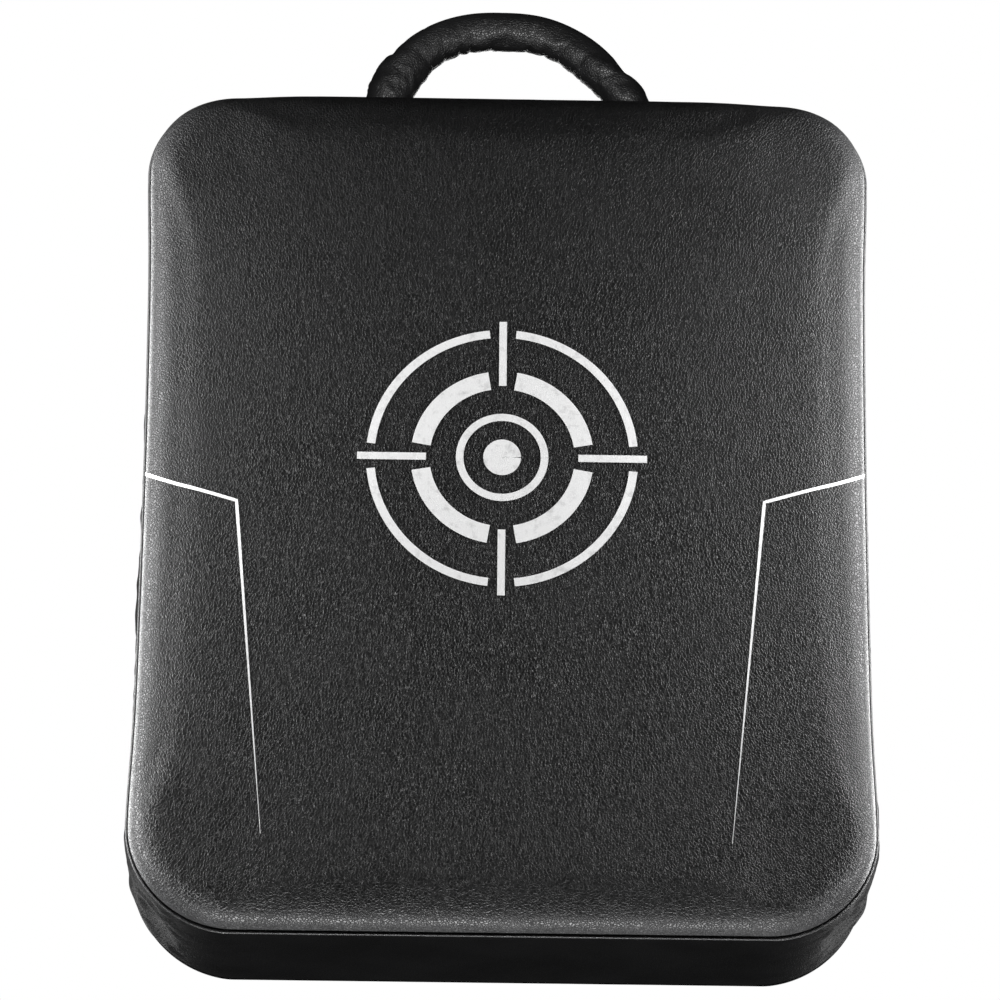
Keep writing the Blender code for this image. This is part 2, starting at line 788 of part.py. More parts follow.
def main():
    clear_scene()
    mats = {
        "cover": make_material("cover", (0.030, 0.030, 0.032), 0.45),
        "piping": make_material("piping", (0.035, 0.035, 0.037), 0.40),
        "lining": make_material("lining", (0.040, 0.040, 0.043), 0.85),
        "webbing": make_material("webbing", (0.025, 0.025, 0.027), 0.80),
        "dense_foam": make_material("dense_foam", (0.16, 0.16, 0.17), 0.90),
        "soft_foam": make_material("soft_foam", (0.60, 0.58, 0.52), 0.95),
        "plastic": make_material("plastic", (0.020, 0.020, 0.022), 0.40),
        "rubber": make_material("rubber", (0.022, 0.022, 0.024), 0.60),
        "metal": make_material("metal", (0.10, 0.10, 0.105), 0.30, 1.0),
    }
    front_panel(mats)
    back_panel(mats)
    gussets(mats)
    piping("front_piping", mats["piping"], FRONT_PIPING_Y)
    piping("back_piping", mats["piping"], BACK_PIPING_Y)
    eyelets(mats)
    foams(mats)
    zip_fastener(mats)
    carry_handle(mats)
    hand_grips(mats)
    forearm_loops(mats)
    inner_anchors(mats)


main()
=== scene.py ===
"""Looks of the kick shield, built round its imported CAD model.

Metres, +Z up, strike face towards -Y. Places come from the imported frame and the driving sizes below.
Every soft CAD solid is replaced by a finished piece; the hard ones keep their shape.
"""

import json
import math

import bmesh
import bpy
import numpy as np
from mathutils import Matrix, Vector, noise
from mathutils.bvhtree import BVHTree


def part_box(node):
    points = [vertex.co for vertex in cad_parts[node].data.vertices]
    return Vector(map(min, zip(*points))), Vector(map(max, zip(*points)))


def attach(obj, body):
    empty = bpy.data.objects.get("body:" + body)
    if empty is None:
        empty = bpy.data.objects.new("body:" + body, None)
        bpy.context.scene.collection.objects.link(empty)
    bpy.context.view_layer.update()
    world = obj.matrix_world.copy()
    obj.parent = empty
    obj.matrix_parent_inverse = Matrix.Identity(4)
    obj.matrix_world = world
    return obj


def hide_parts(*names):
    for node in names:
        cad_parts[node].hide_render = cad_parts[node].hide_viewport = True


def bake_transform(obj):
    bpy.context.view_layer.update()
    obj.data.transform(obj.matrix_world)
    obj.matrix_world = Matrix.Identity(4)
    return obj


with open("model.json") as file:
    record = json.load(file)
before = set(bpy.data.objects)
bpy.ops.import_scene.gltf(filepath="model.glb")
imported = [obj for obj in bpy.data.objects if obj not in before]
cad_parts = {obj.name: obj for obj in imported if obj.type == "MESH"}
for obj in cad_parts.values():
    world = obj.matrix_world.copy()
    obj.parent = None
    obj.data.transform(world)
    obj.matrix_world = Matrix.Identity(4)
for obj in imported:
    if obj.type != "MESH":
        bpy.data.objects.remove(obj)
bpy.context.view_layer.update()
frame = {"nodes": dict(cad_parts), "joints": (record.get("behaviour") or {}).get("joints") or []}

# ---- sizes from the frame

FACE_LOW, FACE_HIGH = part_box("front_panel")
REAR_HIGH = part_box("back_panel")[1]
FRONT_PIPE_LOW, FRONT_PIPE_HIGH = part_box("front_piping")
BACK_PIPE_LOW, BACK_PIPE_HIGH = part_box("back_piping")
HALF_W = FACE_HIGH.x
HEIGHT = FACE_HIGH.z
MID_Z = HEIGHT / 2
FRONT_Y = FACE_LOW.y
BACK_Y = REAR_HIGH.y
FRONT_SEAM_Y = (FRONT_PIPE_LOW.y + FRONT_PIPE_HIGH.y) / 2
BACK_SEAM_Y = (BACK_PIPE_LOW.y + BACK_PIPE_HIGH.y) / 2
JOIN_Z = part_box("gusset_lower")[1].z
TOP_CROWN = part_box("gusset_upper")[1].z - HEIGHT
SIDE_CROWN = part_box("gusset_lower")[1].x - HALF_W
JOINTS = {joint["name"]: joint for joint in frame["joints"]}

# ---- driving sizes

TOP_CORNER_R = 0.060
BOTTOM_CORNER_R = 0.072
FRONT_EDGE_R = 0.0205
BACK_EDGE_R = 0.012
WAIST = 0.0017  # the sides draw in by this much at mid height
LOW_FULLNESS = 0.0028  # and stand out by this much above the bottom corners
HIGH_FULLNESS = 0.0020  # and below the top ones
DROOP = 0.0026  # the top edge hangs down by this much before each top corner
DROOP_X = 0.195
FACE_CROWN = 0.0015  # how far the strike face bows out in the middle before its cloth is blown up
PIPE_R = 0.0013
PIPE_PROUD = 0.0005  # how far the piping stands out of the outline
GROOVE = 0.0022  # dark gap between the piping and the strike face
BACK_GROOVE = 0.0008
RIPPLE_PITCH = 0.027  # of the ripples that run round the gusset's corners
RIPPLE_DEPTH = 0.0006
SEAM_DRAW = 0.0016  # a panel draws in by this much at its seam, so the piping stands out
GRID = 0.0045  # mesh spacing of the cover before its one subdivision

BACKWARDS = Vector((0, 1, 0))

HANDLE_AXIS = Vector(JOINTS["top_handle_swing"]["pos_m"])
TUBE_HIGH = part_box("top_handle_cover")[1]
TUBE_R = (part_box("top_handle_cover")[1].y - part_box("top_handle_cover")[0].y) / 2
TUBE_SWELL = 0.0012  # left for the leather to swell into
TUBE_LOW_SWELL = 0.0020  # a tube is this much fuller low down
FOLD_DEPTH = 0.0026
FOLD_PITCH = 0.0165
HANDLE_CROWN = TUBE_HIGH.z - HANDLE_AXIS.z - TUBE_R - TUBE_SWELL
HANDLE_HALF_SPAN = 0.0880
HANDLE_LEAN = -0.0045  # the soft arch leans a little to one side
ARCH_POWER = 2.65  # 2 is a parabola, more is squarer
GRIP_X = abs(JOINTS["grip_left_swing"]["pos_m"][0])
GRIP_HALF_SPAN = 0.072
FOOT_BEND_R = 0.010
DIP = 0.0052  # how far a tube goes below its hinge line
FOAM_CLEAR = 0.0050  # between a tube's leather and its foam
FOAM_INSET = 0.0065  # between the outline and the slabs inside
FOAM_GAP = 0.0010

TAB_SIZE = 0.030
TAB_SHIFT = 0.0085  # from where a tube bends down to the middle of its tab
TAB_HUMP = 0.0112  # how high a tab rises over its tube's foot
PATCH_THICK = 0.0016
PATCH_CORNER_R = 0.005
ON_CLOTH = 0.0003  # how far threads stand out of flat cloth

LOOP_X = 0.170
LOOP_WIDTH = 0.075
LOOP_HALF_SPAN = 0.150
LOOP_END_L = 0.026
LOOP_RISE = 0.068
LOOP_THICK = 0.0095
LOOP_END_THICK = 0.0030
LOOP_TAPER_L = 0.040

STITCH_PITCH = 0.0042
STITCH_LENGTH = 0.0031
THREAD_R = 0.00038

ROLL_CLIMB = 0.345  # rise of the printed lines for each metre that the face rolls back

SIM_FRAMES = 20


# ---- numbers


def smooth_step(value, low, high):
    share = min(max((value - low) / (high - low), 0.0), 1.0)
    return share * share * (3 - 2 * share)


def waves(x, y, z, size, seed=0.0):
    """Smooth noise between -1 and 1, its blobs about `size` across."""
    return noise.noise(Vector((x / size + seed, y / size - seed, z / size + 2 * seed)))


def fade(value, low, high):
    """1 up to `low`, falling to 0 at `high`."""
    return 1 - smooth_step(value, low, high)


def bell(value, middle, width):
    """1 at the middle, next to nothing two widths away."""
    return math.exp(-(((value - middle) / width) ** 2))


def waisted(x, z):
    """The cover's side line: drawn in a little at mid height and fuller near the corners."""
    drawn_in = WAIST * bell(z, MID_Z * 1.1, 0.17)
    low = LOW_FULLNESS * bell(z, BOTTOM_CORNER_R, 0.055)
    high = HIGH_FULLNESS * bell(z, HEIGHT - TOP_CORNER_R, 0.050)
    return x * (1 + (low + high - drawn_in) / HALF_W)


def fitted(x, y, z):
    """A place on the plain outline, moved to where the soft cover really lies."""
    droop = DROOP * bell(abs(x), DROOP_X, 0.035) * smooth_step(z, HEIGHT - 0.09, HEIGHT)
    return Vector((waisted(x, z), y, z - droop))


# ---- mesh building


def new_piece(name, points, faces, material, smooth=True):
    mesh = bpy.data.meshes.new(name)
    mesh.from_pydata([tuple(p) for p in points], [], faces)
    mesh.update()
    mesh.materials.append(material)
    if smooth:
        mesh.shade_smooth()
    piece = bpy.data.objects.new(name, mesh)
    bpy.context.scene.collection.objects.link(piece)
    return piece


def grid_faces(rows, columns, wrap_rows=False, wrap_columns=False, first=0, flip=False):
    """Quads over a grid of points stored row by row."""
    faces = []
    for j in range(rows if wrap_rows else rows - 1):
        for i in range(columns if wrap_columns else columns - 1):
            a = first + j * columns + i
            b = first + j * columns + (i + 1) % columns
            c = first + ((j + 1) % rows) * columns + (i + 1) % columns
            d = first + ((j + 1) % rows) * columns + i
            faces.append((a, d, c, b) if flip else (a, b, c, d))
    return faces


def tube_faces(rows, sides, flip=False):
    """Quads along a tube's rings, and a face over each of its ends."""
    turn = 1 if flip else -1
    first, last = tuple(range(sides)), tuple(range((rows - 1) * sides, rows * sides))
    return grid_faces(rows, sides, wrap_columns=True, flip=flip) + [first[::turn], last[::-turn]]


def grid_rim(rows, columns):
    """The points round a grid's edge, in order."""
    rim = list(range(columns))
    rim += [j * columns + columns - 1 for j in range(1, rows)]
    rim += [(rows - 1) * columns + i for i in range(columns - 2, -1, -1)]
    return rim + [j * columns for j in range(rows - 2, 0, -1)]


def ring(centre, first, second, sides):
    """Points round a centre, from its two half axes."""
    angles = [2 * math.pi * k / sides for k in range(sides)]
    return [centre + first * math.cos(angle) + second * math.sin(angle) for angle in angles]


def shield_piece(name, points, faces, material, slot=None, nodes=()):
    """A new piece that stays with the shield's body and may stand in for CAD nodes."""
    piece = new_piece(name, points, faces, MATERIALS[material])
    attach(piece, "shield")
    if nodes:
        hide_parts(*nodes)
    return piece


def face_outwards(piece):
    """Turns every face of a closed piece outwards."""
    mesh = bmesh.new()
    mesh.from_mesh(piece.data)
    bmesh.ops.recalc_face_normals(mesh, faces=mesh.faces)
    mesh.to_mesh(piece.data)
    mesh.free()


def set_uv(piece, uv_of_point):
    """A UV map in metres, from one (u, v) per point."""
    mesh = piece.data
    layer = mesh.uv_layers.new(name="cloth_uv")
    for loop in mesh.loops:
        layer.data[loop.index].uv = uv_of_point[loop.vertex_index]


def set_wear(piece, values):
    """How worn each point is, 0 to 1, for the materials to read."""
    mark = piece.data.attributes.new("wear", "FLOAT", "POINT")
    mark.data.foreach_set("value", np.array(values, np.float32))


def relieve(piece, relief):
    """Moves each point along its normal by relief(point)."""
    moved = [vertex.co + vertex.normal * relief(vertex.co) for vertex in piece.data.vertices]
    for vertex, place in zip(piece.data.vertices, moved):
        vertex.co = place
    piece.data.update()


def merge_meshes(parts):
    """One list of points and one of faces from several."""
    points, faces = [], []
    for some_points, some_faces in parts:
        start = len(points)
        points += [tuple(p) for p in some_points]
        faces += [tuple(start + index for index in face) for face in some_faces]
    return points, faces


def reach_along(line):
    """How far along a line each of its points lies."""
    return np.concatenate([[0.0], np.cumsum(np.linalg.norm(np.diff(line, axis=0), axis=1))])


def places_along(line, reach, wanted):
    """Each coordinate of the places at the wanted distances along a line."""
    return [np.interp(wanted, reach, line[:, k]) for k in range(line.shape[1])]


def headings(line):
    """The unit heading at each point of a line, from its neighbours."""
    line = np.array(line, float)
    last = len(line) - 1
    steps = [line[min(i + 1, last)] - line[max(i - 1, 0)] for i in range(last + 1)]
    return [step / np.linalg.norm(step) for step in steps]


def resample(points, pitch):
    """Points at an even pitch along a line, each with its tangent."""
    line = np.array([tuple(p) for p in points], float)
    reach = reach_along(line)
    count = max(int(reach[-1] / pitch), 1)
    out = []
    for wanted in (np.arange(count) + 0.5) * reach[-1] / count:
        ends = [wanted - pitch / 4, wanted, wanted + pitch / 4]
        behind, here, ahead = (Vector(places_along(line, reach, end)) for end in ends)
        out.append((here, (ahead - behind).normalized()))
    return out


def one_stitch(centre, along, up, length, radius):
    """A short length of thread, its ends diving into the cloth."""
    side = along.cross(up).normalized()
    lift = along.cross(side).normalized() * -1
    sides = 6
    stations = ((-0.5, -1.1), (-0.36, 0.25), (0.0, 0.6), (0.36, 0.25), (0.5, -1.1))
    points = []
    for share, height in stations:
        base = centre + along * (share * length) + lift * (height * radius)
        points += ring(base, side * radius, lift * radius, sides)
    return points, tube_faces(len(stations), sides)


def stitches(name, rows, pitch=STITCH_PITCH, length=STITCH_LENGTH):
    """Rows of stitches in one piece. A row is (points, up); up(point) is the cloth's outward side."""
    parts = []
    for points, up in rows:
        for place, along in resample(points, pitch):
            parts.append(one_stitch(place, along, up(place), length, THREAD_R))
    return shield_piece(name, *merge_meshes(parts), "thread")


# ---- materials


def feed(socket, value):
    """Links another node's output to a socket, or sets a plain value or colour on it."""
    if isinstance(value, bpy.types.NodeSocket):
        socket.id_data.links.new(value, socket)
    elif socket.type == "RGBA":
        socket.default_value = (*value, 1.0)
    else:
        socket.default_value = value


def add_node(tree, kind, inputs=None, **settings):
    node = tree.nodes.new(kind)
    for key, value in settings.items():
        setattr(node, key, value)
    for key, value in (inputs or {}).items():
        feed(node.inputs[key], value)
    return node


class Stuff:
    """A material in the making, with short names for the nodes that the materials share."""

    def __init__(self, name, **sockets):
        self.material = bpy.data.materials.new(name)
        self.material.use_nodes = True
        self.tree = self.material.node_tree
        self.shader = self.tree.nodes["Principled BSDF"]
        for key, value in sockets.items():
            self.shader.inputs[key.replace("_", " ")].default_value = value
        self.place = self.node("ShaderNodeTexCoord").outputs["Object"]

    def node(self, kind, inputs=None, **settings):
        return add_node(self.tree, kind, inputs, **settings)

    def math(self, operation, first, second=0.0):
        return self.node("ShaderNodeMath", {0: first, 1: second}, operation=operation).outputs[0]

    def add(self, first, second):
        return self.math("ADD", first, second)

    def times(self, first, second):
        return self.math("MULTIPLY", first, second)

    def mix(self, factor, first, second):
        return self.node("ShaderNodeMix", {0: factor, 6: first, 7: second}, data_type="RGBA").outputs[2]

    def read(self, value, low, high, to_low=0.0, to_high=1.0):
        """Maps low..high on to to_low..to_high."""
        limits = {"From Min": low, "From Max": high, "To Min": to_low, "To Max": to_high}
        return self.node("ShaderNodeMapRange", {"Value": value, **limits}).outputs["Result"]

    def cloud(self, size, detail=2.0, roughness=0.5):
        """Soft noise, its blobs about `size` across."""
        inputs = {"Vector": self.place, "Scale": 1 / size, "Detail": detail, "Roughness": roughness}
        return self.node("ShaderNodeTexNoise", inputs).outputs["Fac"]

    def grain(self, size):
        """Pebbled leather: rounded cells parted by narrow creases (0 in a crease, 1 on a pebble), and a finer
        tooth to go on top."""
        drift = self.node("ShaderNodeTexNoise", {"Vector": self.place, "Scale": 0.5 / size, "Detail": 1.0})
        moved = {0: drift.outputs["Color"], 1: (size * 1.2,) * 3, 2: self.place}
        shifted = self.node("ShaderNodeVectorMath", moved, operation="MULTIPLY_ADD").outputs[0]
        cells = {"Vector": shifted, "Scale": 1 / size}
        edges = self.node("ShaderNodeTexVoronoi", cells, feature="DISTANCE_TO_EDGE").outputs["Distance"]
        return self.read(edges, 0.02, 0.20), self.cloud(size * 0.6, roughness=0.6)

    def finished(self, colour, roughness, height, depth):
        bumped = self.node("ShaderNodeBump", {"Height": height, "Distance": depth, "Strength": 1.0})
        feed(self.shader.inputs["Base Color"], colour)
        feed(self.shader.inputs["Roughness"], roughness)
        feed(self.shader.inputs["Normal"], bumped.outputs["Normal"])
        return self.material


# Painted shade: the near-black colour put deep in the leather grain's creases, where shade falls.
CREASE_PAINTED_SHADE = (0.0015, 0.0015, 0.0016)


def leather(name, tones, rough, grain, depth, specular):
    """Faux leather: pebbled grain with dull creases darkened by painted shade, cloudy colour and gloss, edges
    rubbed lighter.
    """
    stuff = Stuff(name, Specular_IOR_Level=specular)
    dark, light = tones
    pebbles, tooth = stuff.grain(grain)
    broad = stuff.cloud(0.070, detail=3.0)
    patchy = stuff.cloud(0.018, detail=4.0, roughness=0.65)
    wear = stuff.node("ShaderNodeAttribute", attribute_name="wear").outputs["Fac"]
    rubbed = stuff.times(wear, stuff.read(patchy, 0.42, 0.62, 0.15, 1.0))
    body = stuff.mix(stuff.read(broad, 0.35, 0.65), dark, light)
    # painted shade: the grain's creases are darkened towards the crease colour
    crease_shaded = stuff.mix(stuff.read(pebbles, 0.0, 0.6, 0.75, 0.0), body, CREASE_PAINTED_SHADE)
    worn = stuff.mix(rubbed, crease_shaded, tuple(2.2 * value for value in light))
    dull = stuff.read(pebbles, 0.0, 0.7, 0.30, 0.0)
    polish = stuff.times(rubbed, -0.05)
    roughness = stuff.add(stuff.add(stuff.read(broad, 0.35, 0.65, *rough), dull), polish)
    return stuff.finished(worn, roughness, stuff.add(pebbles, stuff.times(tooth, 0.6)), depth)


def weave(name, tones, thread, depth, roughness, sheen):
    """Plain woven cloth, its two sets of threads along the piece's UV axes."""
    stuff = Stuff(name, Sheen_Weight=sheen, Sheen_Roughness=0.4)
    uv = stuff.node("ShaderNodeUVMap").outputs["UV"]
    split = stuff.node("ShaderNodeSeparateXYZ", {"Vector": uv}).outputs
    across, along = (stuff.math("SINE", stuff.times(split[axis], math.pi / thread)) for axis in (0, 1))
    over = stuff.times(across, along)
    fuzz = stuff.cloud(thread * 0.7, detail=3.0)
    height = stuff.add(stuff.math("ABSOLUTE", over), stuff.times(fuzz, 0.5))
    colour = stuff.mix(stuff.read(stuff.add(over, fuzz), -0.4, 1.3), *tones)
    roughness = stuff.read(fuzz, 0.3, 0.7, roughness - 0.08, roughness + 0.08)
    return stuff.finished(colour, roughness, height, depth)


def speckled(name, tones, size, depth, rough, metallic=0.0):
    """A hard stuff with fine uneven colour, gloss and surface."""
    stuff = Stuff(name, Metallic=metallic)
    fine = stuff.cloud(size, detail=4.0, roughness=0.6)
    colour = stuff.mix(stuff.read(stuff.cloud(size * 9), 0.3, 0.7), *tones)
    return stuff.finished(colour, stuff.read(fine, 0.3, 0.7, *rough), fine, depth)


def foam(name, tones, cell):
    """Foam rubber cut to show its cells."""
    stuff = Stuff(name)
    cells = stuff.node("ShaderNodeTexVoronoi", {"Vector": stuff.place, "Scale": 1 / cell}).outputs["Distance"]
    roughness = stuff.read(stuff.cloud(cell * 4), 0.3, 0.7, 0.85, 0.97)
    return stuff.finished(stuff.mix(stuff.read(cells, 0.0, 0.6), *tones), roughness, cells, cell * 0.3)


def printed_ink(name):
    """White ink on the leather: the grain shows through it and its tone is slightly patchy."""
    stuff = Stuff(name)
    pebbles, tooth = stuff.grain(0.0016)
    height = stuff.add(stuff.times(pebbles, 0.5), stuff.times(tooth, 0.4))
    patchy = stuff.cloud(0.006, detail=5.0, roughness=0.7)
    colour = stuff.mix(stuff.read(patchy, 0.30, 0.48), grey(0.70), grey(0.93))
    return stuff.finished(colour, stuff.read(tooth, 0.3, 0.7, 0.50, 0.66), height, 0.00008)


def grey(value, blue=0.0):
    """A grey, its blue channel a little stronger if asked."""
    return value, value, value + blue


def make_materials():
    """Each stuff by name; its tones are a dark and a light colour, `rough` its limits of roughness."""
    face = grey(0.0075, 0.0003), grey(0.0105, 0.0005)
    side = grey(0.0050, 0.0003), grey(0.0085, 0.0005)
    lining = grey(0.010, 0.001), grey(0.040, 0.003)
    webbing = grey(0.008, 0.001), grey(0.030, 0.002)
    thread = grey(0.018, 0.001), grey(0.034, 0.002)
    metal = grey(0.060, 0.004), grey(0.130, 0.005)
    shiny = (0.22, 0.42)
    plastic = grey(0.010, 0.001), grey(0.020, 0.001)
    rubber = grey(0.012, 0.001), grey(0.024, 0.001)
    dense = grey(0.07, 0.005), grey(0.17, 0.01)
    soft = (0.36, 0.34, 0.29), (0.62, 0.60, 0.54)
    return {
        "cover": leather("cover_leather", face, (0.38, 0.46), grain=0.0019, depth=0.00024, specular=0.36),
        "gusset": leather("gusset_leather", side, (0.36, 0.46), grain=0.0021, depth=0.00010, specular=0.26),
        "handle": leather("handle_leather", face, (0.30, 0.40), grain=0.0018, depth=0.00014, specular=0.42),
        "trim": leather("trim_leather", face, (0.32, 0.42), grain=0.0016, depth=0.00010, specular=0.40),
        "lining": weave("lining_cloth", lining, thread=0.0011, depth=0.00035, roughness=0.85, sheen=0.25),
        "webbing": weave("webbing_cloth", webbing, thread=0.0016, depth=0.00045, roughness=0.75, sheen=0.15),
        "thread": speckled("thread_nylon", thread, size=0.0004, depth=0.00010, rough=(0.45, 0.65)),
        "ink": printed_ink("print_ink"),
        "metal": speckled("blackened_metal", metal, size=0.0009, depth=0.00002, rough=shiny, metallic=1.0),
        "plastic": speckled("coil_nylon", plastic, size=0.0008, depth=0.00004, rough=(0.30, 0.46)),
        "rubber": speckled("pull_rubber", rubber, size=0.0012, depth=0.00008, rough=(0.50, 0.68)),
        "dense_foam": foam("dense_foam", dense, cell=0.0011),
        "soft_foam": foam("soft_foam", soft, cell=0.0016),
    }


MATERIALS = make_materials()


# ---- cloth simulation


# Settings that every simulated piece shares.
CLOTH = {
    "quality": 5,
    "mass": 0.2,
    "tension_stiffness": 20,
    "compression_stiffness": 20,
    "shear_stiffness": 8,
}
WAITING = []  # (piece, how firmly each point is held, cap, pressure, slack, bending)


def wait_for_cloth(piece, held, cap, pressure, slack, bending=0.4):
    WAITING.append((piece, held, cap, pressure, slack, bending))


def add_cloth(piece, held, pressure, slack, bending):
    """Cloth that swells against its seams; `held` is 0 to 1 for each point."""
    group = piece.vertex_groups.new(name="held")
    for index, weight in enumerate(held):
        group.add([index], weight, "REPLACE")
    cloth = piece.modifiers.new("swell", "CLOTH")
    settings = cloth.settings
    for key, value in CLOTH.items():
        setattr(settings, key, value)
    settings.bending_stiffness = bending
    settings.use_pressure = True
    settings.uniform_pressure_force = pressure
    settings.shrink_min = -slack
    settings.vertex_group_mass = group.name
    settings.effector_weights.gravity = 0.0
    cloth.collision_settings.use_collision = False
    cloth.point_cache.frame_start = 1
    cloth.point_cache.frame_end = SIM_FRAMES


def run_cloth():
    """Swells every waiting piece, eases each point's move under its cap, and keeps the result in the mesh."""
    starts = {}
    for piece, held, _, pressure, slack, bending in WAITING:
        starts[piece.name] = np.array([tuple(vertex.co) for vertex in piece.data.vertices])
        add_cloth(piece, held, pressure, slack, bending)
    scene = bpy.context.scene
    for number in range(1, SIM_FRAMES + 1):
        scene.frame_set(number)
    graph = bpy.context.evaluated_depsgraph_get()
    for piece, _, cap, *_ in WAITING:
        swollen = piece.evaluated_get(graph)
        ends = np.array([tuple(vertex.co) for vertex in swollen.to_mesh().vertices])
        swollen.to_mesh_clear()
        move = ends - starts[piece.name]
        size = np.maximum(np.linalg.norm(move, axis=1, keepdims=True), 1e-9)
        move *= cap * np.tanh(size / cap) / size
        piece.modifiers.remove(piece.modifiers["swell"])
        piece.vertex_groups.clear()
        piece.data.vertices.foreach_set("co", (starts[piece.name] + move).astype(np.float32).ravel())
        piece.data.update()
    scene.frame_set(1)


# ---- the shield's outline


def outline_legs():
    """The outline as (length, corner radius, start or corner centre, direction or first angle), from the
    middle of the bottom and counterclockwise seen from the front."""
    top_x, top_z = HALF_W - TOP_CORNER_R, HEIGHT - TOP_CORNER_R
    low_x, low_z = HALF_W - BOTTOM_CORNER_R, BOTTOM_CORNER_R
    top_arc, low_arc = TOP_CORNER_R * math.pi / 2, BOTTOM_CORNER_R * math.pi / 2
    side = top_z - low_z
    return (
        (low_x, 0.0, (0.0, 0.0), (1, 0)),
        (low_arc, BOTTOM_CORNER_R, (low_x, low_z), -90),
        (side, 0.0, (HALF_W, low_z), (0, 1)),
        (top_arc, TOP_CORNER_R, (top_x, top_z), 0),
        (2 * top_x, 0.0, (top_x, HEIGHT), (-1, 0)),
        (top_arc, TOP_CORNER_R, (-top_x, top_z), 90),
        (side, 0.0, (-HALF_W, top_z), (0, -1)),
        (low_arc, BOTTOM_CORNER_R, (-low_x, low_z), 180),
        (low_x, 0.0, (-low_x, 0.0), (1, 0)),
    )


OUTLINE = outline_legs()
OUTLINE_LENGTH = sum(leg[0] for leg in OUTLINE)
JOIN_S = OUTLINE[0][0] + OUTLINE[1][0] + JOIN_Z - BOTTOM_CORNER_R  # from the bottom's middle to the join


def outline_at(distance):
    """(x, z, normal x, normal z) at a distance along the outline."""
    left = distance % OUTLINE_LENGTH
    for length, radius, start, heading in OUTLINE:
        if left <= length:
            break
        left -= length
    if radius == 0.0:
        dx, dz = heading
        return start[0] + dx * left, start[1] + dz * left, float(dz), float(-dx)
    angle = math.radians(heading) + left / radius
    nx, nz = math.cos(angle), math.sin(angle)
    return start[0] + nx * radius, start[1] + nz * radius, nx, nz


def past_corner(x, z):
    """How far a place lies past its nearest corner's centre, sideways and upright, and the radius there."""
    radius = TOP_CORNER_R if z > MID_Z else BOTTOM_CORNER_R
    return abs(x) - (HALF_W - radius), abs(z - MID_Z) - (MID_Z - radius), radius


def outline_normal(x, z):
    """The outline's outward normal nearest to a place."""
    a, b, _ = past_corner(x, z)
    side, up = math.copysign(1, x), math.copysign(1, z - MID_Z)
    if a > 0 and b > 0:
        size = math.hypot(a, b)
        return side * a / size, up * b / size
    if a > b:
        return side, 0.0
    return 0.0, up


def cornerness(x, z):
    """1 in the middle of a rounded corner, 0 away from the corners."""
    a, b, _ = past_corner(x, z)
    return smooth_step(min(a, b), -0.030, 0.020)


# ---- panels


def unrolled_line(half, edge_r, snaps=()):
    """Places along one side of a panel at an even pitch over its cloth: (place, distance from the seam)."""
    arc = edge_r * math.pi / 2
    total = 2 * (half - edge_r + arc)
    count = round(total / GRID)
    line = []
    for i in range(count + 1):
        along = total * i / count
        distance = min(along, total - along)
        inset = edge_r + distance - arc
        if distance < arc:
            inset = edge_r * (1 - math.cos(distance / edge_r))
        line.append([math.copysign(half - inset, along - total / 2), distance])
    for snap in snaps:
        nearest = min(line, key=lambda item: abs(item[0] - snap))
        nearest[0] = snap
    return line


def round_corner(u, v):
    """Bends the square corner of a grid, centred on the panel, into the outline's round one."""
    a, b, radius = past_corner(u, v + MID_Z)
    if a <= 0 or b <= 0:
        return u, v
    if a >= b:
        size, angle = a, math.pi / 4 * b / a
    else:
        size, angle = b, math.pi / 2 - math.pi / 4 * a / b
    return (
        math.copysign(HALF_W - radius + size * math.cos(angle), u),
        math.copysign(MID_Z - radius + size * math.sin(angle), v),
    )


# Each line of a panel's hem: how far in from the rim, and how much further from the seam than the groove.
HEM = ((0.0002, 0.0007), (0.0008, 0.0001), (0.0018, -0.0002), (0.0034, -0.0004), (0.0060, -0.0006))


def panel(name, node, material, face_y, seam_y, edge_r, groove, relief, crown=0.0, snaps=((), ()), hole=None):
    """A panel's cloth: an even grid with rolled edges and a hem turned into the seam. `snaps` are places that
    its columns and rows must meet, and hole(x, z) leaves faces out. Also how firmly each point is held."""
    columns, rows = unrolled_line(HALF_W, edge_r, snaps[0]), unrolled_line(MID_Z, edge_r, snaps[1])
    turn = math.copysign(1, seam_y - face_y)
    points, from_seam = [], []
    for v, down in rows:
        for u, across in columns:
            x, z = round_corner(u, v)
            distance = min(down, across)
            drop = edge_r * (1 - math.sin(min(distance / edge_r, math.pi / 2)))
            points.append((x, face_y + turn * drop, z + MID_Z))
            from_seam.append(distance)
    faces = grid_faces(len(rows), len(columns), flip=turn < 0)
    if hole:
        middles = (np.mean([points[index] for index in face], axis=0) for face in faces)
        faces = [face for face, middle in zip(faces, middles) if not hole(middle[0], middle[2])]
    rim = grid_rim(len(rows), len(columns))
    previous = rim
    for inset, short in HEM:
        turned = []
        for index in rim:
            x, _, z = points[index]
            nx, nz = outline_normal(x, z)
            turned.append(len(points))
            points.append((x - nx * inset, seam_y - turn * (PIPE_R + groove + short), z - nz * inset))
            from_seam.append(0.0)
        for k in range(len(rim)):
            after = (k + 1) % len(rim)
            quad = (previous[after], previous[k], turned[k], turned[after])
            faces.append(quad if turn > 0 else quad[::-1])
        previous = turned
    used = sorted({index for face in faces for index in face})
    place_of = {index: place for place, index in enumerate(used)}
    faces = [tuple(place_of[index] for index in face) for face in faces]
    piece = shield_piece(name, [points[index] for index in used], faces, material, "cover", (node,))
    relieve(piece, relief)
    edge_wear(piece, edge_r)
    bow_out(piece, crown)
    return piece, [fade(from_seam[index], 0.002, edge_r * 1.2) for index in used]


def distance_from_seam(x, z):
    """How far inside the outline a place lies."""
    a, b, radius = past_corner(x, z)
    if a > 0 and b > 0:
        return radius - math.hypot(a, b)
    return radius - max(a, b)


def near_seam(inset):
    """1 along the seam, where the cloth puckers, 0 on the hem and away from it."""
    return fade(inset, 0.002, 0.014) * smooth_step(inset, 0.0, 0.001)


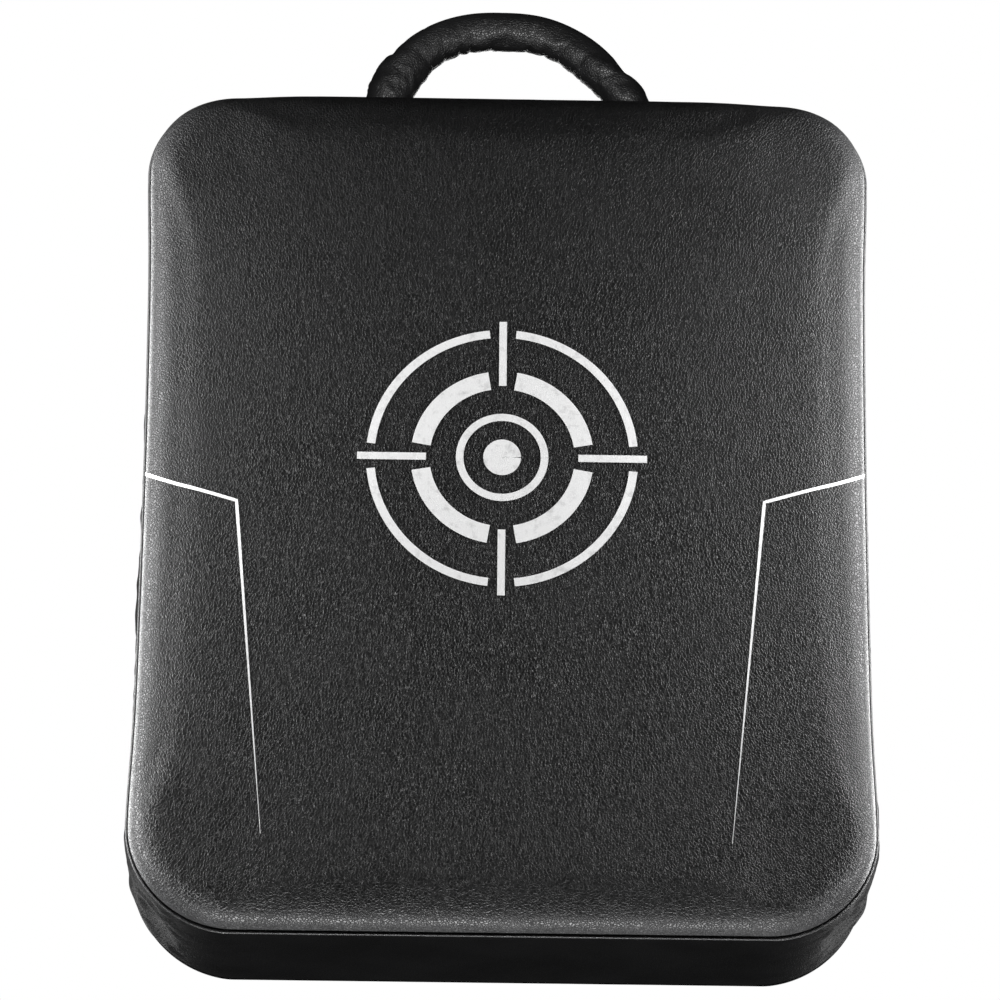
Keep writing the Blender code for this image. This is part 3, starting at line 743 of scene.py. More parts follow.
def face_relief(co):
    """The strike face's own shape: broad soft waves in the foam, short pleats in the rolled corners and a
    fine pucker along the seam."""
    x, _, z = co
    inset = distance_from_seam(x, z)
    nx, nz = outline_normal(x, z)
    away = smooth_step(inset, 0.0, 0.030)
    relief = away * (0.00045 * waves(x, 0, z, 0.120) + 0.00018 * waves(x, 0, z, 0.035, 3.1))
    corner = cornerness(x, z) * fade(inset, 0.006, 0.040) * smooth_step(inset, 0.0, 0.004)
    relief += corner * 0.00008 * math.sin(14 * math.atan2(nz, nx) + 5 * waves(x, 0, z, 0.03, 1.7))
    return relief + near_seam(inset) * 0.00010 * waves(x, 0, z, 0.010, 6.0) - pulled_creases(x, z, inset)


def pulled_creases(x, z, inset):
    """A few short creases where the cover is pulled round its upper corners."""
    depth = 0.0
    for side, height in ((-1, 0.630), (-1, 0.622), (1, 0.618)):
        if x * side > 0:
            depth += 0.0007 * bell(z, height - 0.35 * (abs(x) - HALF_W), 0.0022)
    return depth * bell(inset, 0.007, 0.007)


def bow_out(piece, size):
    """The panel's middle bows out towards -Y, its rim draws in at the seam and its sides follow the waist."""
    for vertex in piece.data.vertices:
        x, y, z = vertex.co
        nx, nz = outline_normal(x, z)
        draw = SEAM_DRAW * fade(distance_from_seam(x, z), 0.0, 0.012)
        x, z = x - nx * draw, z - nz * draw
        bow = (1 - (x / HALF_W) ** 2) * (1 - ((z - MID_Z) / MID_Z) ** 2)
        vertex.co = fitted(x, y - size * max(bow, 0.0) ** 0.8, z)
    piece.data.update()


def edge_wear(piece, edge_r):
    """Wear gathers where the panel turns over its edge, most of all at its corners."""
    values = []
    for vertex in piece.data.vertices:
        x, _, z = vertex.co
        turn = bell(distance_from_seam(x, z), edge_r * 0.35, edge_r * 0.5)
        values.append(turn * (0.35 + 0.4 * cornerness(x, z)))
    set_wear(piece, values)


def front_cover():
    piece, held = panel(
        "front_cover", "front_panel", "cover", FRONT_Y, FRONT_SEAM_Y, FRONT_EDGE_R, GROOVE,
        face_relief, FACE_CROWN,
    )
    corners = [0.75 * cornerness(vertex.co.x, vertex.co.z) for vertex in piece.data.vertices]
    held = [max(pair) for pair in zip(held, corners)]
    wait_for_cloth(piece, held, cap=0.0018, pressure=4.0, slack=0.0, bending=6.0)
    return piece


ZIP_LOW, ZIP_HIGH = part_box("zip_teeth_lower")[0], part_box("zip_teeth_upper")[1]
ZIP_Z = (ZIP_LOW.z + ZIP_HIGH.z) / 2
ZIP_HALF_L = 0.195
SLOT_HALF_H = 0.0050  # the slot in the back panel that shows the zip


def back_relief(co):
    """Soft waves and a fine pucker along the seam."""
    x, _, z = co
    inset = distance_from_seam(x, z)
    away = smooth_step(inset, 0.0, 0.025)
    relief = away * (0.0004 * waves(x, 4.0, z, 0.100) + 0.0002 * waves(x, 2.0, z, 0.030))
    return relief + near_seam(inset) * 0.00025 * waves(x, 8.0, z, 0.010)


def sewn_down(x, z):
    """1 where a strap, a tab or the zip is sewn to the back, 0 between them."""
    level = abs(z - JOIN_Z)
    near_zip = fade(abs(z - ZIP_Z), SLOT_HALF_H + 0.006, SLOT_HALF_H + 0.022)
    near_zip *= fade(abs(x), ZIP_HALF_L + 0.006, ZIP_HALF_L + 0.022)
    near_patch = fade(abs(abs(x) - LOOP_X), LOOP_WIDTH / 2 + 0.006, LOOP_WIDTH / 2 + 0.020)
    near_patch *= fade(abs(level - LOOP_HALF_SPAN - 0.018), 0.020, 0.034)
    near_tab = fade(abs(abs(x) - GRIP_X), 0.016, 0.028)
    near_tab *= fade(abs(level - GRIP_HALF_SPAN - FOOT_BEND_R), 0.018, 0.030)
    return max(near_zip, near_patch, near_tab)


def in_zip_slot(x, z):
    return abs(x) < ZIP_HALF_L and abs(z - ZIP_Z) < SLOT_HALF_H


def back_cover():
    slot = (ZIP_Z - SLOT_HALF_H - MID_Z, ZIP_Z + SLOT_HALF_H - MID_Z)
    piece, held = panel(
        "back_cover", "back_panel", "gusset", BACK_Y, BACK_SEAM_Y, BACK_EDGE_R, BACK_GROOVE, back_relief,
        snaps=((-ZIP_HALF_L, ZIP_HALF_L), slot), hole=in_zip_slot,
    )
    sewn = [sewn_down(vertex.co.x, vertex.co.z) for vertex in piece.data.vertices]
    held = [max(pair) for pair in zip(held, sewn)]
    wait_for_cloth(piece, held, cap=0.0012, pressure=3.0, slack=0.010)
    return piece


# ---- seams and gussets


def piping(name, seam_y, node):
    """The corded edge between a panel and the gusset."""
    sides, step = 10, 0.0025
    count = round(OUTLINE_LENGTH / step)
    points = []
    for i in range(count):
        x, z, nx, nz = outline_at(OUTLINE_LENGTH * i / count)
        radius = PIPE_R * (1 + 0.06 * waves(x, seam_y, z, 0.006))
        y = seam_y + 0.00015 * waves(x, seam_y, z, 0.030, 2.0)
        for k in range(sides):
            angle = 2 * math.pi * k / sides
            out = radius * (math.cos(angle) - 1) + PIPE_PROUD
            points.append(fitted(x + nx * out, y + radius * math.sin(angle), max(z + nz * out, 0.0)))
    faces = grid_faces(count, sides, wrap_rows=True, wrap_columns=True, flip=True)
    shield_piece(name, points, faces, "trim", "piping", (node,))


def gusset_crown(x, z):
    """How far the gusset stands out at its middle, as in the frame: raised under the carry handle, full down
    the lower sides and flat on the floor."""
    least = 0.0015
    if z > HEIGHT - TOP_CORNER_R / 2:
        return least + (TOP_CROWN - least) * fade(abs(x), 0.120, HALF_W - TOP_CORNER_R)
    if z < BOTTOM_CORNER_R:
        return SIDE_CROWN * smooth_step(z, 0.0, BOTTOM_CORNER_R)
    return least + (SIDE_CROWN - least) * fade(z, JOIN_Z - 0.10, JOIN_Z + 0.05)


def gusset_relief(x, y, z, share):
    """Long ripples that run round the corners, and soft unevenness elsewhere; nothing where it stands."""
    corner = cornerness(x, z)
    clear = smooth_step(z, 0.001, 0.012) * (1 - share**8)
    phase = 4.0 * waves(x, 0, z, 0.050, 5.0)
    ripple = math.sin(2 * math.pi * y / RIPPLE_PITCH + phase) * (0.4 + 0.9 * waves(x, y, z, 0.05))
    relief = corner * RIPPLE_DEPTH * ripple
    relief += 0.0005 * waves(x, y, z, 0.055, 9.0) + 0.00025 * waves(x, y, z, 0.022, 4.0)
    return relief * clear


def gusset(name, start, end, node):
    """One gusset strip: an even grid between the seams, its long edges turned into them."""
    y0, y1 = FRONT_SEAM_Y + PIPE_R * 0.6, BACK_SEAM_Y - PIPE_R * 0.6
    hem = ((0.0060, 0.0000), (0.0022, 0.0002), (0.0009, 0.0005), (0.0002, 0.0010))
    edge = 0.0018
    steps = round((y1 - y0) / GRID)
    across = list(hem) + [(0.0, edge + (y1 - y0 - 2 * edge) * k / steps) for k in range(steps + 1)]
    across += [(inset, y1 - y0 - offset) for inset, offset in hem[::-1]]
    count = round((end - start) / GRID)
    points, uv, wear, held = [], [], [], []
    for i in range(count + 1):
        along = start + (end - start) * i / count
        x, z, nx, nz = outline_at(along)
        crown = gusset_crown(x, z)
        end_hold = max(fade(min(i, count - i), 0, 3), fade(z, 0.002, 0.020), under_handle(x, z))
        for inset, offset in across:
            y = y0 + offset
            share = abs(2 * offset / (y1 - y0) - 1)
            out = crown * (1 - share**3.2) + gusset_relief(x, y, z, share) - inset
            points.append(fitted(x + nx * out, y, max(z + nz * out, 0.0)))
            uv.append((along, y))
            wear.append(0.3 * share**6 + 0.25 * cornerness(x, z))
            held.append(max(smooth_step(share, 0.80, 0.97), end_hold))
    faces = grid_faces(count + 1, len(across), flip=True)
    piece = shield_piece(name, points, faces, "gusset", "cover", (node,))
    set_uv(piece, uv)
    set_wear(piece, wear)
    wait_for_cloth(piece, held, cap=0.0022, pressure=3.0, slack=0.020)
    return piece


def under_handle(x, z):
    """1 on the top where the handle's tabs are sewn, 0 elsewhere."""
    if z < HEIGHT - 0.001:
        return 0.0
    return fade(abs(abs(x) - HANDLE_HALF_SPAN - FOOT_BEND_R), 0.018, 0.030)


def gussets():
    """The lower strip laps a little over the upper one at each side join."""
    lap = 0.004
    return [
        gusset("gusset_lower_cover", -JOIN_S, JOIN_S, "gusset_lower"),
        gusset("gusset_upper_cover", JOIN_S - lap, OUTLINE_LENGTH - JOIN_S + lap, "gusset_upper"),
    ]


def outwards(place):
    nx, nz = outline_normal(place.x, place.z)
    return Vector((nx, 0.0, nz))


def seam_stitches():
    """The rows that close both piped seams, on the gusset side of the piping."""
    count, sunk = 400, 0.0006
    rows = []
    for y in (FRONT_SEAM_Y + PIPE_R + 0.0005, BACK_SEAM_Y - PIPE_R - 0.0005):
        points = []
        for i in range(count + 1):
            x, z, nx, nz = outline_at(OUTLINE_LENGTH * i / count)
            points.append(fitted(x - nx * sunk, y, max(z - nz * sunk, 0.0004)))
        rows.append((points, outwards))
    stitches("seam_stitches", rows)


# ---- foam


def foam_block(name, node, material, front_r, back_r):
    """One of the slabs inside the cover: cut square, its outer edge rounded to follow the cover's roll."""
    y0, y1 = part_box(node)[0].y + FOAM_GAP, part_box(node)[1].y - FOAM_GAP
    count, steps = 220, 6
    turns = [math.pi / 2 * i / steps for i in range(steps + 1)]
    sections = [(front_r * (1 - math.sin(turn)), y0 + front_r * (1 - math.cos(turn))) for turn in turns]
    sections += [(back_r * (1 - math.cos(turn)), y1 - back_r * (1 - math.sin(turn))) for turn in turns]
    points = []
    for inset, y in sections:
        for k in range(count):
            x, z, nx, nz = outline_at(OUTLINE_LENGTH * k / count)
            depth = FOAM_INSET + inset + 0.0006 * waves(x, y, z, 0.060, 12.0)
            points.append(fitted(x - nx * depth, y, z - nz * depth))
    shield_piece(name, points, tube_faces(len(sections), count), material, material, (node,))


def foam_blocks():
    foam_block("strike_block", "strike_foam", "dense_foam", FRONT_EDGE_R, 0.001)
    foam_block("core_block", "core_foam", "soft_foam", 0.001, 0.001)
    foam_block("backing_block", "backing_foam", "dense_foam", 0.001, BACK_EDGE_R)


# ---- prints


INK_LIFT = 0.00022
LINE_WIDTH = 0.0023
LINE_END_WIDTH = 0.0003
# Each printed line's start at the edge, its corner and its lower end, as (x, z).
LINE_CORNERS = {
    "left": ((-0.2472, 0.3145), (-0.1832, 0.2953), (-0.1615, 0.0618)),
    "right": ((0.2472, 0.3209), (0.1760, 0.2994), (0.1527, 0.0592)),
}
TARGET_CENTRE = (-0.0029, 0.3290)


def on_face(surface, x, z):
    """The place and normal of the strike face behind (x, z)."""
    hit, normal, _, _ = surface.ray_cast(Vector((x, FRONT_Y - 0.1, z)), BACKWARDS)
    if hit is None:
        hit, normal, _, _ = surface.find_nearest(Vector((x, FRONT_Y + FRONT_EDGE_R, z)))
    return hit, normal


def strip_points(surface, line, widths):
    """A ribbon along (x, z) points, laid on the strike face. It climbs where the face rolls back."""
    points = []
    across = 4
    for (x, z), (dx, dz), width in zip(line, headings(line), widths):
        for k in range(across + 1):
            shift = width * (k / across - 0.5)
            place = (x - dz * shift, z + dx * shift)
            hit, _ = on_face(surface, *place)
            climb = ROLL_CLIMB * max(hit.y - FRONT_Y, 0.0)
            hit, normal = on_face(surface, place[0], place[1] + climb)
            points.append(hit + normal * INK_LIFT)
    return points, grid_faces(len(line), across + 1, flip=True)


def straight(start, end, step=0.0025):
    count = max(int(math.dist(start, end) / step), 2)
    return [
        (start[0] + (end[0] - start[0]) * i / count, start[1] + (end[1] - start[1]) * i / count)
        for i in range(count + 1)
    ]


def print_lines(surface):
    """Two white lines on the strike face, in from each edge and then down, thinning out to nothing."""
    for where, (edge, corner, end) in LINE_CORNERS.items():
        first, second = straight(edge, corner), straight(corner, end)
        widths = [LINE_WIDTH] * len(first) + list(np.linspace(LINE_WIDTH, LINE_END_WIDTH, len(second)))[1:]
        shield_piece(f"print_line_{where}", *strip_points(surface, first + second[1:], widths), "ink")


def target_print(surface):
    """A plain strike target in the middle of the face: a broken ring, a broken band, four ticks, a whole ring
    and a centre disc."""
    parts = []

    def at(radius, angle):
        return TARGET_CENTRE[0] + radius * math.cos(angle), TARGET_CENTRE[1] + radius * math.sin(angle)

    def band(line, width):
        parts.append(strip_points(surface, line, [width] * len(line)))

    def arc(radius, width, start=0.0, gap=0.0, turn=math.pi / 2):
        band([at(radius, start + gap + (turn - 2 * gap) * i / 60) for i in range(61)], width)

    for quarter in range(4):
        start = math.pi / 2 * quarter
        arc(0.0900, 0.0058, start, gap=0.10)
        arc(0.0560, 0.0130, start, gap=0.16)
        band(straight(at(0.0520, start), at(0.0990, start)), 0.0052)
    arc(0.0290, 0.0052, turn=2 * math.pi)
    arc(0.0065, 0.0128, turn=2 * math.pi)
    shield_piece("print_target", *merge_meshes(parts), "ink")


# ---- padded tubes


def tube_path(half_span, crown, steps=90):
    """(along, out) stations of a handle's centre line: an arch whose two ends dip under their tabs."""
    arch = []
    for i in range(steps + 1):
        along = -half_span * math.cos(math.pi * i / steps)
        arch.append((along, crown * (1 - abs(along / half_span) ** ARCH_POWER)))
    slope = crown * ARCH_POWER / half_span
    dip = [(-half_span - DIP * share / slope, -DIP * share) for share in (1.0, 0.5)]
    return dip + arch + [(-along, out) for along, out in dip[::-1]]


def even_line(line, step):
    """The line's points at an even pitch, and how far along it each lies."""
    points = np.array(line, float)
    reach = reach_along(points)
    places = np.linspace(0.0, reach[-1], round(reach[-1] / step) + 1)
    return np.stack(places_along(points, reach, places), axis=1), places


def tube_radius(out):
    """A little fuller low down, and drawn in where it goes under its tab."""
    full = TUBE_R + TUBE_LOW_SWELL * fade(out, 0.018, 0.052)
    return full * (0.84 + 0.16 * smooth_step(out, -DIP, 0.005))


def gather(distance, angle, length):
    """Folds drawn up along the tube's inner seam: full at the seam, gone on the outer side."""
    inner = bell(angle, math.pi, 0.85)
    ends = smooth_step(min(distance, length - distance), 0.030, 0.050)
    wander = 2.4 * waves(distance, 0, 0, 0.040, 4.0) + 0.9 * waves(distance, angle * 0.01, 0, 0.015)
    fold = abs(math.sin(math.pi * distance / FOLD_PITCH + wander + 0.5 * math.sin(angle)))
    uneven = 0.7 + 0.5 * waves(distance, 3.0, 0, 0.022)
    return inner * ends * FOLD_DEPTH * uneven * (fold**0.6 - 0.66)


def foam_roll(name, line, place):
    """The foam inside a tube, along the same line and a little smaller than the leather."""
    sides = 16
    inside = [(along, out) for along, out in line if out > FOOT_BEND_R * 1.6]
    points = []
    for (along, out), (ahead, up) in zip(inside, headings(inside)):
        radius = tube_radius(out) - FOAM_CLEAR
        for flat, across, _ in ring(Vector(), Vector((radius, 0, 0)), Vector((0, radius, 0)), sides):
            points.append(place(along - up * flat, out + ahead * flat, across))
    faces = tube_faces(len(inside), sides, flip=True)
    roll = new_piece(f"{name}_roll", points, faces, MATERIALS["soft_foam"])
    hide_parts(f"{name}_core")
    return roll


def padded_tube(name, half_span, crown, place):
    """A gathered leather tube over its foam roll."""
    sides, step = 40, 0.0020
    line, reach = even_line(tube_path(half_span, crown), step)
    points, uv, wear, held = [], [], [], []
    for (along, out), (ahead, up), distance in zip(line, headings(line), reach):
        radius = tube_radius(out)
        foot = fade(out, 0.0, 0.006)
        for k in range(sides):
            angle = 2 * math.pi * k / sides
            flat, across = math.cos(angle), math.sin(angle)
            fold = gather(distance, angle, reach[-1])
            lump = 0.00035 * waves(distance, flat * 0.02, across * 0.02, 0.03, 7.0)
            size = radius + (fold + lump) * radius / TUBE_R
            points.append(place(along - up * size * flat, out + ahead * size * flat, size * across))
            uv.append((distance, size * angle))
            wear.append(0.35 * max(flat, 0.0) ** 2 + 0.3 * max(fold, 0.0) / 0.001)
            held.append(max(foot, bell(angle, math.pi, 0.16)))
    faces = tube_faces(len(line), sides, flip=True)
    piece = new_piece(f"{name}_leather", points, faces, MATERIALS["handle"])
    set_uv(piece, uv)
    set_wear(piece, wear)
    wait_for_cloth(piece, held, cap=0.0016, pressure=5.0, slack=0.030)
    return piece, foam_roll(name, line, place)


def carry_handle():
    def place(along, out, across):
        lean = HANDLE_LEAN * smooth_step(out, 0.0, HANDLE_CROWN * 0.6)
        return Vector((along + lean, HANDLE_AXIS.y + across, HANDLE_AXIS.z + out))

    return padded_tube("top_handle", HANDLE_HALF_SPAN, HANDLE_CROWN, place)


GRIPS = ("grip_left", "grip_right")


def hand_grips():
    grips = {}
    for name in GRIPS:
        axis = Vector(JOINTS[f"{name}_swing"]["pos_m"])
        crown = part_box(f"{name}_cover")[1].y - axis.y - TUBE_R

        def place(along, out, across, axis=axis):
            return Vector((axis.x + across, axis.y + out, axis.z - along))

        grips[name] = padded_tube(name, GRIP_HALF_SPAN, crown, place)
    return grips


def finish_tube(tube, name):
    """After the cloth is settled: the CAD cover is hidden and each piece's place is baked into its mesh."""
    axis = Vector(JOINTS[f"{name}_swing"]["pos_m"])
    leather_piece, _ = tube
    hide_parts(f"{name}_cover")
    for piece in tube:
        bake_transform(piece)


# ---- tabs


def patch(node, place, height, length, width):
    """A sewn patch lying on a surface: place(along, across, height) and height(along, across) above it."""
    columns, rows = 26, 22
    points = []
    for j in range(rows + 1):
        for i in range(columns + 1):
            u, v = 2 * i / columns - 1, 2 * j / rows - 1
            a, b = abs(u) * length / 2, abs(v) * width / 2
            square_a, square_b = length / 2 - PATCH_CORNER_R, width / 2 - PATCH_CORNER_R
            past_a, past_b = a - square_a, b - square_b
            if past_a > 0 and past_b > 0:
                size = max(past_a, past_b) / math.hypot(past_a, past_b)
                a, b = square_a + past_a * size, square_b + past_b * size
            along, across = math.copysign(a, u), math.copysign(b, v)
            drop = 0.45 * fade(min(1 - abs(u), 1 - abs(v)), 0.0, 0.05)
            points.append(place(along, across, height(along, across) + PATCH_THICK * (1 - drop)))
    first = len(points)
    rim = grid_rim(rows + 1, columns + 1)
    up = place(0, 0, 1) - place(0, 0, 0)
    points += [points[index] - up * PATCH_THICK * 0.75 for index in rim]
    faces = grid_faces(rows + 1, columns + 1)
    for k in range(len(rim)):
        after = (k + 1) % len(rim)
        faces.append((rim[k], first + k, first + after, rim[after]))
    piece = shield_piece(f"{node}_leather", points, faces, "trim", "cover", (node,))
    face_outwards(piece)
    middle = piece.data.polygons[len(piece.data.polygons) // 4]
    if middle.normal.dot(up) < 0:
        piece.data.flip_normals()


def cross_box(place, height, length, width, inset):
    """A box with a cross in it, as rows of stitches just above a patch."""
    a, b = length / 2 - inset, width / 2 - inset
    corners = ((-a, -b), (a, -b), (a, b), (-a, b), (-a, -b), (a, b))
    legs = list(zip(corners, corners[1:])) + [((a, -b), (-a, b))]
    up = place(0, 0, 1) - place(0, 0, 0)
    rows = []
    for start, end in legs:
        points = [place(*spot, height(*spot) + PATCH_THICK + 0.0001) for spot in straight(start, end, 0.002)]
        rows.append((points, lambda point: up))
    return rows


def handle_tabs(name, half_span, at, ends):
    """The two leather tabs that a tube's feet are sewn under, and their stitches."""
    middle = half_span + FOOT_BEND_R / 2 + TAB_SHIFT
    rows = []
    for side, where in ends:
        def place(along, across, height, side=side):
            return at(side * (middle + along), across, height)

        def height(along, across):
            return TAB_HUMP * fade(along / TAB_SIZE + 0.5, 0.22, 0.62) * bell(across, 0.0, 0.0075)

        patch(f"{name}_tab_{where}", place, height, TAB_SIZE, TAB_SIZE)
        rows += cross_box(place, height, TAB_SIZE, TAB_SIZE, 0.0028)
    return rows


def all_tabs():
    def top(along, across, height):
        return Vector((along, HANDLE_AXIS.y + across, HANDLE_AXIS.z - 0.006 + height))

    rows = handle_tabs("top_handle", HANDLE_HALF_SPAN, top, ((-1, "left"), (1, "right")))
    for name in GRIPS:
        axis = Vector(JOINTS[f"{name}_swing"]["pos_m"])

        def back(along, across, height, axis=axis):
            return Vector((axis.x + across, BACK_Y + height, axis.z + along))

        rows += handle_tabs(name, GRIP_HALF_SPAN, back, ((1, "upper"), (-1, "lower")))
    stitches("tab_stitches", rows, pitch=0.0030, length=0.0023)


# ---- forearm loops


LOOP_COLUMNS = 31
QUILT_X = LOOP_WIDTH / 6  # two rows of quilting part a loop into three channels
QUILT_DENT = 0.0022
QUILT_DENT_INSIDE = 0.0012
LOOP_LIFT = 0.0004


def loop_line(steps=120, flat=8):
    """(along, out) of a forearm loop: flat at both sewn ends, arched between."""
    ends = [(LOOP_HALF_SPAN + LOOP_END_L * (1 - i / flat), 0.0) for i in range(flat)]
    arch = []
    for i in range(steps + 1):
        share = i / steps
        ease = smooth_step(min(share, 1 - share), -0.08, 0.22)
        arch.append((LOOP_HALF_SPAN * (2 * share - 1), LOOP_RISE * ease * math.sin(math.pi * share)))
    return [(-along, out) for along, out in ends] + arch + ends[::-1]


def band_thickness(along):
    full = smooth_step(LOOP_HALF_SPAN - abs(along), 0.0, LOOP_TAPER_L)
    return LOOP_END_THICK + (LOOP_THICK + 0.0018 - LOOP_END_THICK) * full


def forearm_loop(where, side):
    """A padded band: leather outside, cloth inside, quilted into three channels and bound at both edges."""
    name = f"forearm_loop_{where}"
    low_end, high_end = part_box(f"{name}_face")
    centre_z = (low_end.z + high_end.z) / 2
    line, reach = even_line(loop_line(), 0.0030)
    half = LOOP_WIDTH / 2
    tops, lows, uv, held = [], [], [], []
    for (along, out), (ahead, up), distance in zip(line, headings(line), reach):
        thick = band_thickness(along)
        end_hold = fade(LOOP_HALF_SPAN - abs(along), -0.002, 0.010)
        full = (thick - LOOP_END_THICK) / (LOOP_THICK - LOOP_END_THICK)
        for k in range(LOOP_COLUMNS):
            x = -half + LOOP_WIDTH * k / (LOOP_COLUMNS - 1)
            edge = (1 - abs(x / half) ** 6) ** 0.5
            channel = abs(abs(x) - QUILT_X)
            dent = bell(channel, 0.0, 0.0035) * full
            wave = 0.0004 * waves(x, along, side, 0.02) * full
            high = thick * (0.5 + 0.5 * edge) - QUILT_DENT * dent + wave
            low = thick * 0.5 * (1 - edge) * 0.6 + QUILT_DENT_INSIDE * dent - wave * 0.5
            for store, lift in ((tops, high), (lows, low)):
                y = BACK_Y + LOOP_LIFT + out + ahead * lift
                store.append(Vector((side * LOOP_X + x, y, centre_z + along - up * lift)))
            uv.append((x, distance))
            held.append(max(end_hold, bell(channel, 0.0, 0.0022), smooth_step(abs(x / half), 0.84, 0.93)))
    faces = [grid_faces(len(line), LOOP_COLUMNS, flip=flip) for flip in (True, False)]
    covered = (f"{name}_face", f"{name}_pad")
    outer = shield_piece(f"{name}_leather", tops, faces[0], "gusset", "cover", covered)
    inner = shield_piece(f"{name}_cloth", lows, faces[1], "lining", "lining", (f"{name}_lining",))
    for piece in (outer, inner):
        set_uv(piece, uv)
    wait_for_cloth(outer, held, cap=0.0016, pressure=4.0, slack=0.030)
    wait_for_cloth(inner, held, cap=0.0010, pressure=3.0, slack=0.020)
    return name, outer, inner


def finish_loop(name, outer, inner):
    """Binding, quilting and patches follow the settled cloth."""
    tops, lows = ([vertex.co.copy() for vertex in piece.data.vertices] for piece in (outer, inner))
    loop_binding(name, tops, lows)
    loop_stitches(name, tops)
    loop_patches(name)


def loop_binding(name, tops, lows):
    """Tape folded over each long edge of the band."""
    sides, inwards = 9, 3
    count = len(tops) // LOOP_COLUMNS
    parts = []
    for edge, step in ((0, 1), (LOOP_COLUMNS - 1, -1)):
        points = []
        for i in range(count):
            rim = i * LOOP_COLUMNS + edge
            high, low = tops[rim + inwards * step], lows[rim + inwards * step]
            reach = ((tops[rim] + lows[rim]) / 2 - high).x * -step + 0.0010
            thick = high - low
            tall = thick.normalized() * (thick.length / 2 + 0.0006)
            for k in range(sides):
                angle = math.pi * (k / (sides - 1) - 0.5)
                out = Vector((-step * reach * math.cos(angle), 0, 0))
                points.append((high + low) / 2 + out + tall * math.sin(angle))
        parts.append((points, grid_faces(count, sides, flip=step < 0)))
    shield_piece(f"{name}_binding", *merge_meshes(parts), "trim", "cover")


def loop_stitches(name, tops):
    """Quilting rows down the two channels and one beside each binding."""
    count = len(tops) // LOOP_COLUMNS
    rows = []
    for share in (0.5 - QUILT_X / LOOP_WIDTH, 0.5 + QUILT_X / LOOP_WIDTH, 0.13, 0.87):
        column = round(share * (LOOP_COLUMNS - 1))
        line = [tops[i * LOOP_COLUMNS + column] + ON_CLOTH * BACKWARDS for i in range(6, count - 6)]
        rows.append((line, lambda place: BACKWARDS))
    stitches(f"{name}_stitches", rows)


def loop_patches(name):
    rows = []
    for up, level in ((1, "upper"), (-1, "lower")):
        node = f"{name}_patch_{level}"
        low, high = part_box(node)
        middle = (low + high) / 2
        length, width = high.z - low.z, high.x - low.x

        def place(along, across, height, middle=middle, up=up):
            return Vector((middle.x + across, BACK_Y + height, middle.z + up * along))

        def height(along, across, length=length):
            band = LOOP_END_THICK * fade(abs(across), LOOP_WIDTH / 2 - 0.002, LOOP_WIDTH / 2 + 0.002)
            return LOOP_LIFT + band * fade(along, length * 0.18, length * 0.30)

        patch(node, place, height, length, width)
        rows += cross_box(place, height, length, width, 0.0035)
    stitches(f"{name}_patch_stitches", rows, pitch=0.0032, length=0.0025)


# ---- zip


COIL_PITCH = 0.0017  # from one tooth of the zip to the next


def zip_coils():
    """Two interlocking nylon coils, one loop of filament for each tooth."""
    low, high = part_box("zip_teeth_lower")
    count = int((high.x - low.x) / COIL_PITCH)
    for where, side, shift in (("upper", 1, 0.8), ("lower", -1, 0.3)):
        places = [low.x + COIL_PITCH * (i + shift) for i in range(count)]
        coil = merge_meshes([coil_loop(x, (low.y + high.y) / 2, side) for x in places])
        shield_piece(f"zip_coil_{where}", *coil, "plastic", "plastic", (f"zip_teeth_{where}",))


def coil_loop(x, y, side):
    """One turn of the coil: out from the tape, round its tip and back."""
    wire, sides, stations = 0.00034, 6, 13
    points = []
    for i in range(stations):
        angle = math.pi * (i / (stations - 1) * 1.6 - 0.8)
        radial = Vector((0, math.sin(angle), -side * math.cos(angle)))
        from_middle = 0.0014 - 0.0012 * math.cos(angle)
        drift = COIL_PITCH * 0.20 * i / stations
        centre = Vector((x + drift, y + 0.00085 * math.sin(angle), ZIP_Z + side * from_middle))
        points += ring(centre, Vector((wire * 1.35, 0, 0)), radial * wire, sides)
    return points, grid_faces(stations, sides, wrap_columns=True, flip=side > 0)


def zip_hems():
    """The folded edges of the back panel beside the zip, with their topstitching."""
    count, sides, radius = 120, 8, 0.0011
    half = ZIP_HALF_L + 0.003
    parts, rows = [], []
    for side in (-1, 1):
        z = ZIP_Z + side * SLOT_HALF_H
        points = []
        for x in np.linspace(-ZIP_HALF_L, ZIP_HALF_L, count + 1):
            for k in range(sides + 1):
                angle = math.pi * (k / sides) - math.pi / 2
                y = BACK_Y - ON_CLOTH + radius * math.sin(angle) * 0.9
                points.append(Vector((waisted(x, z), y, z - side * radius * math.cos(angle))))
        parts.append((points, grid_faces(count + 1, sides + 1, flip=side > 0)))
        along = np.linspace(-half, half, 60)
        rows.append([(waisted(x, z), BACK_Y + ON_CLOTH, z + side * 0.0032) for x in along])
    for x in (-half, half):
        rows.append([(x, BACK_Y + ON_CLOTH, ZIP_Z + SLOT_HALF_H * share) for share in (-1.5, 0, 1.5)])
    shield_piece("zip_hems", *merge_meshes(parts), "gusset", "cover")
    stitches("zip_stitches", [(row, lambda place: BACKWARDS) for row in rows])


def copy_of_node(node, name, material, body, edge):
    """A softened copy of a hard CAD node, its edges rounded."""
    mesh = frame["nodes"][node].data.copy()
    mesh.materials.clear()
    mesh.materials.append(MATERIALS[material])
    piece = bpy.data.objects.new(name, mesh)
    bpy.context.scene.collection.objects.link(piece)
    shape = bmesh.new()
    shape.from_mesh(mesh)
    bmesh.ops.remove_doubles(shape, verts=shape.verts, dist=0.00002)
    bmesh.ops.dissolve_limit(shape, angle_limit=0.02, verts=shape.verts, edges=shape.edges)
    shape.to_mesh(mesh)
    shape.free()
    mesh.shade_smooth()
    step = piece.modifiers.new("edge", "BEVEL")
    step.width = edge
    step.segments = 2
    step.limit_method = "ANGLE"
    step.angle_limit = math.radians(35)
    step.harden_normals = False
    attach(piece, body)
    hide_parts(node)


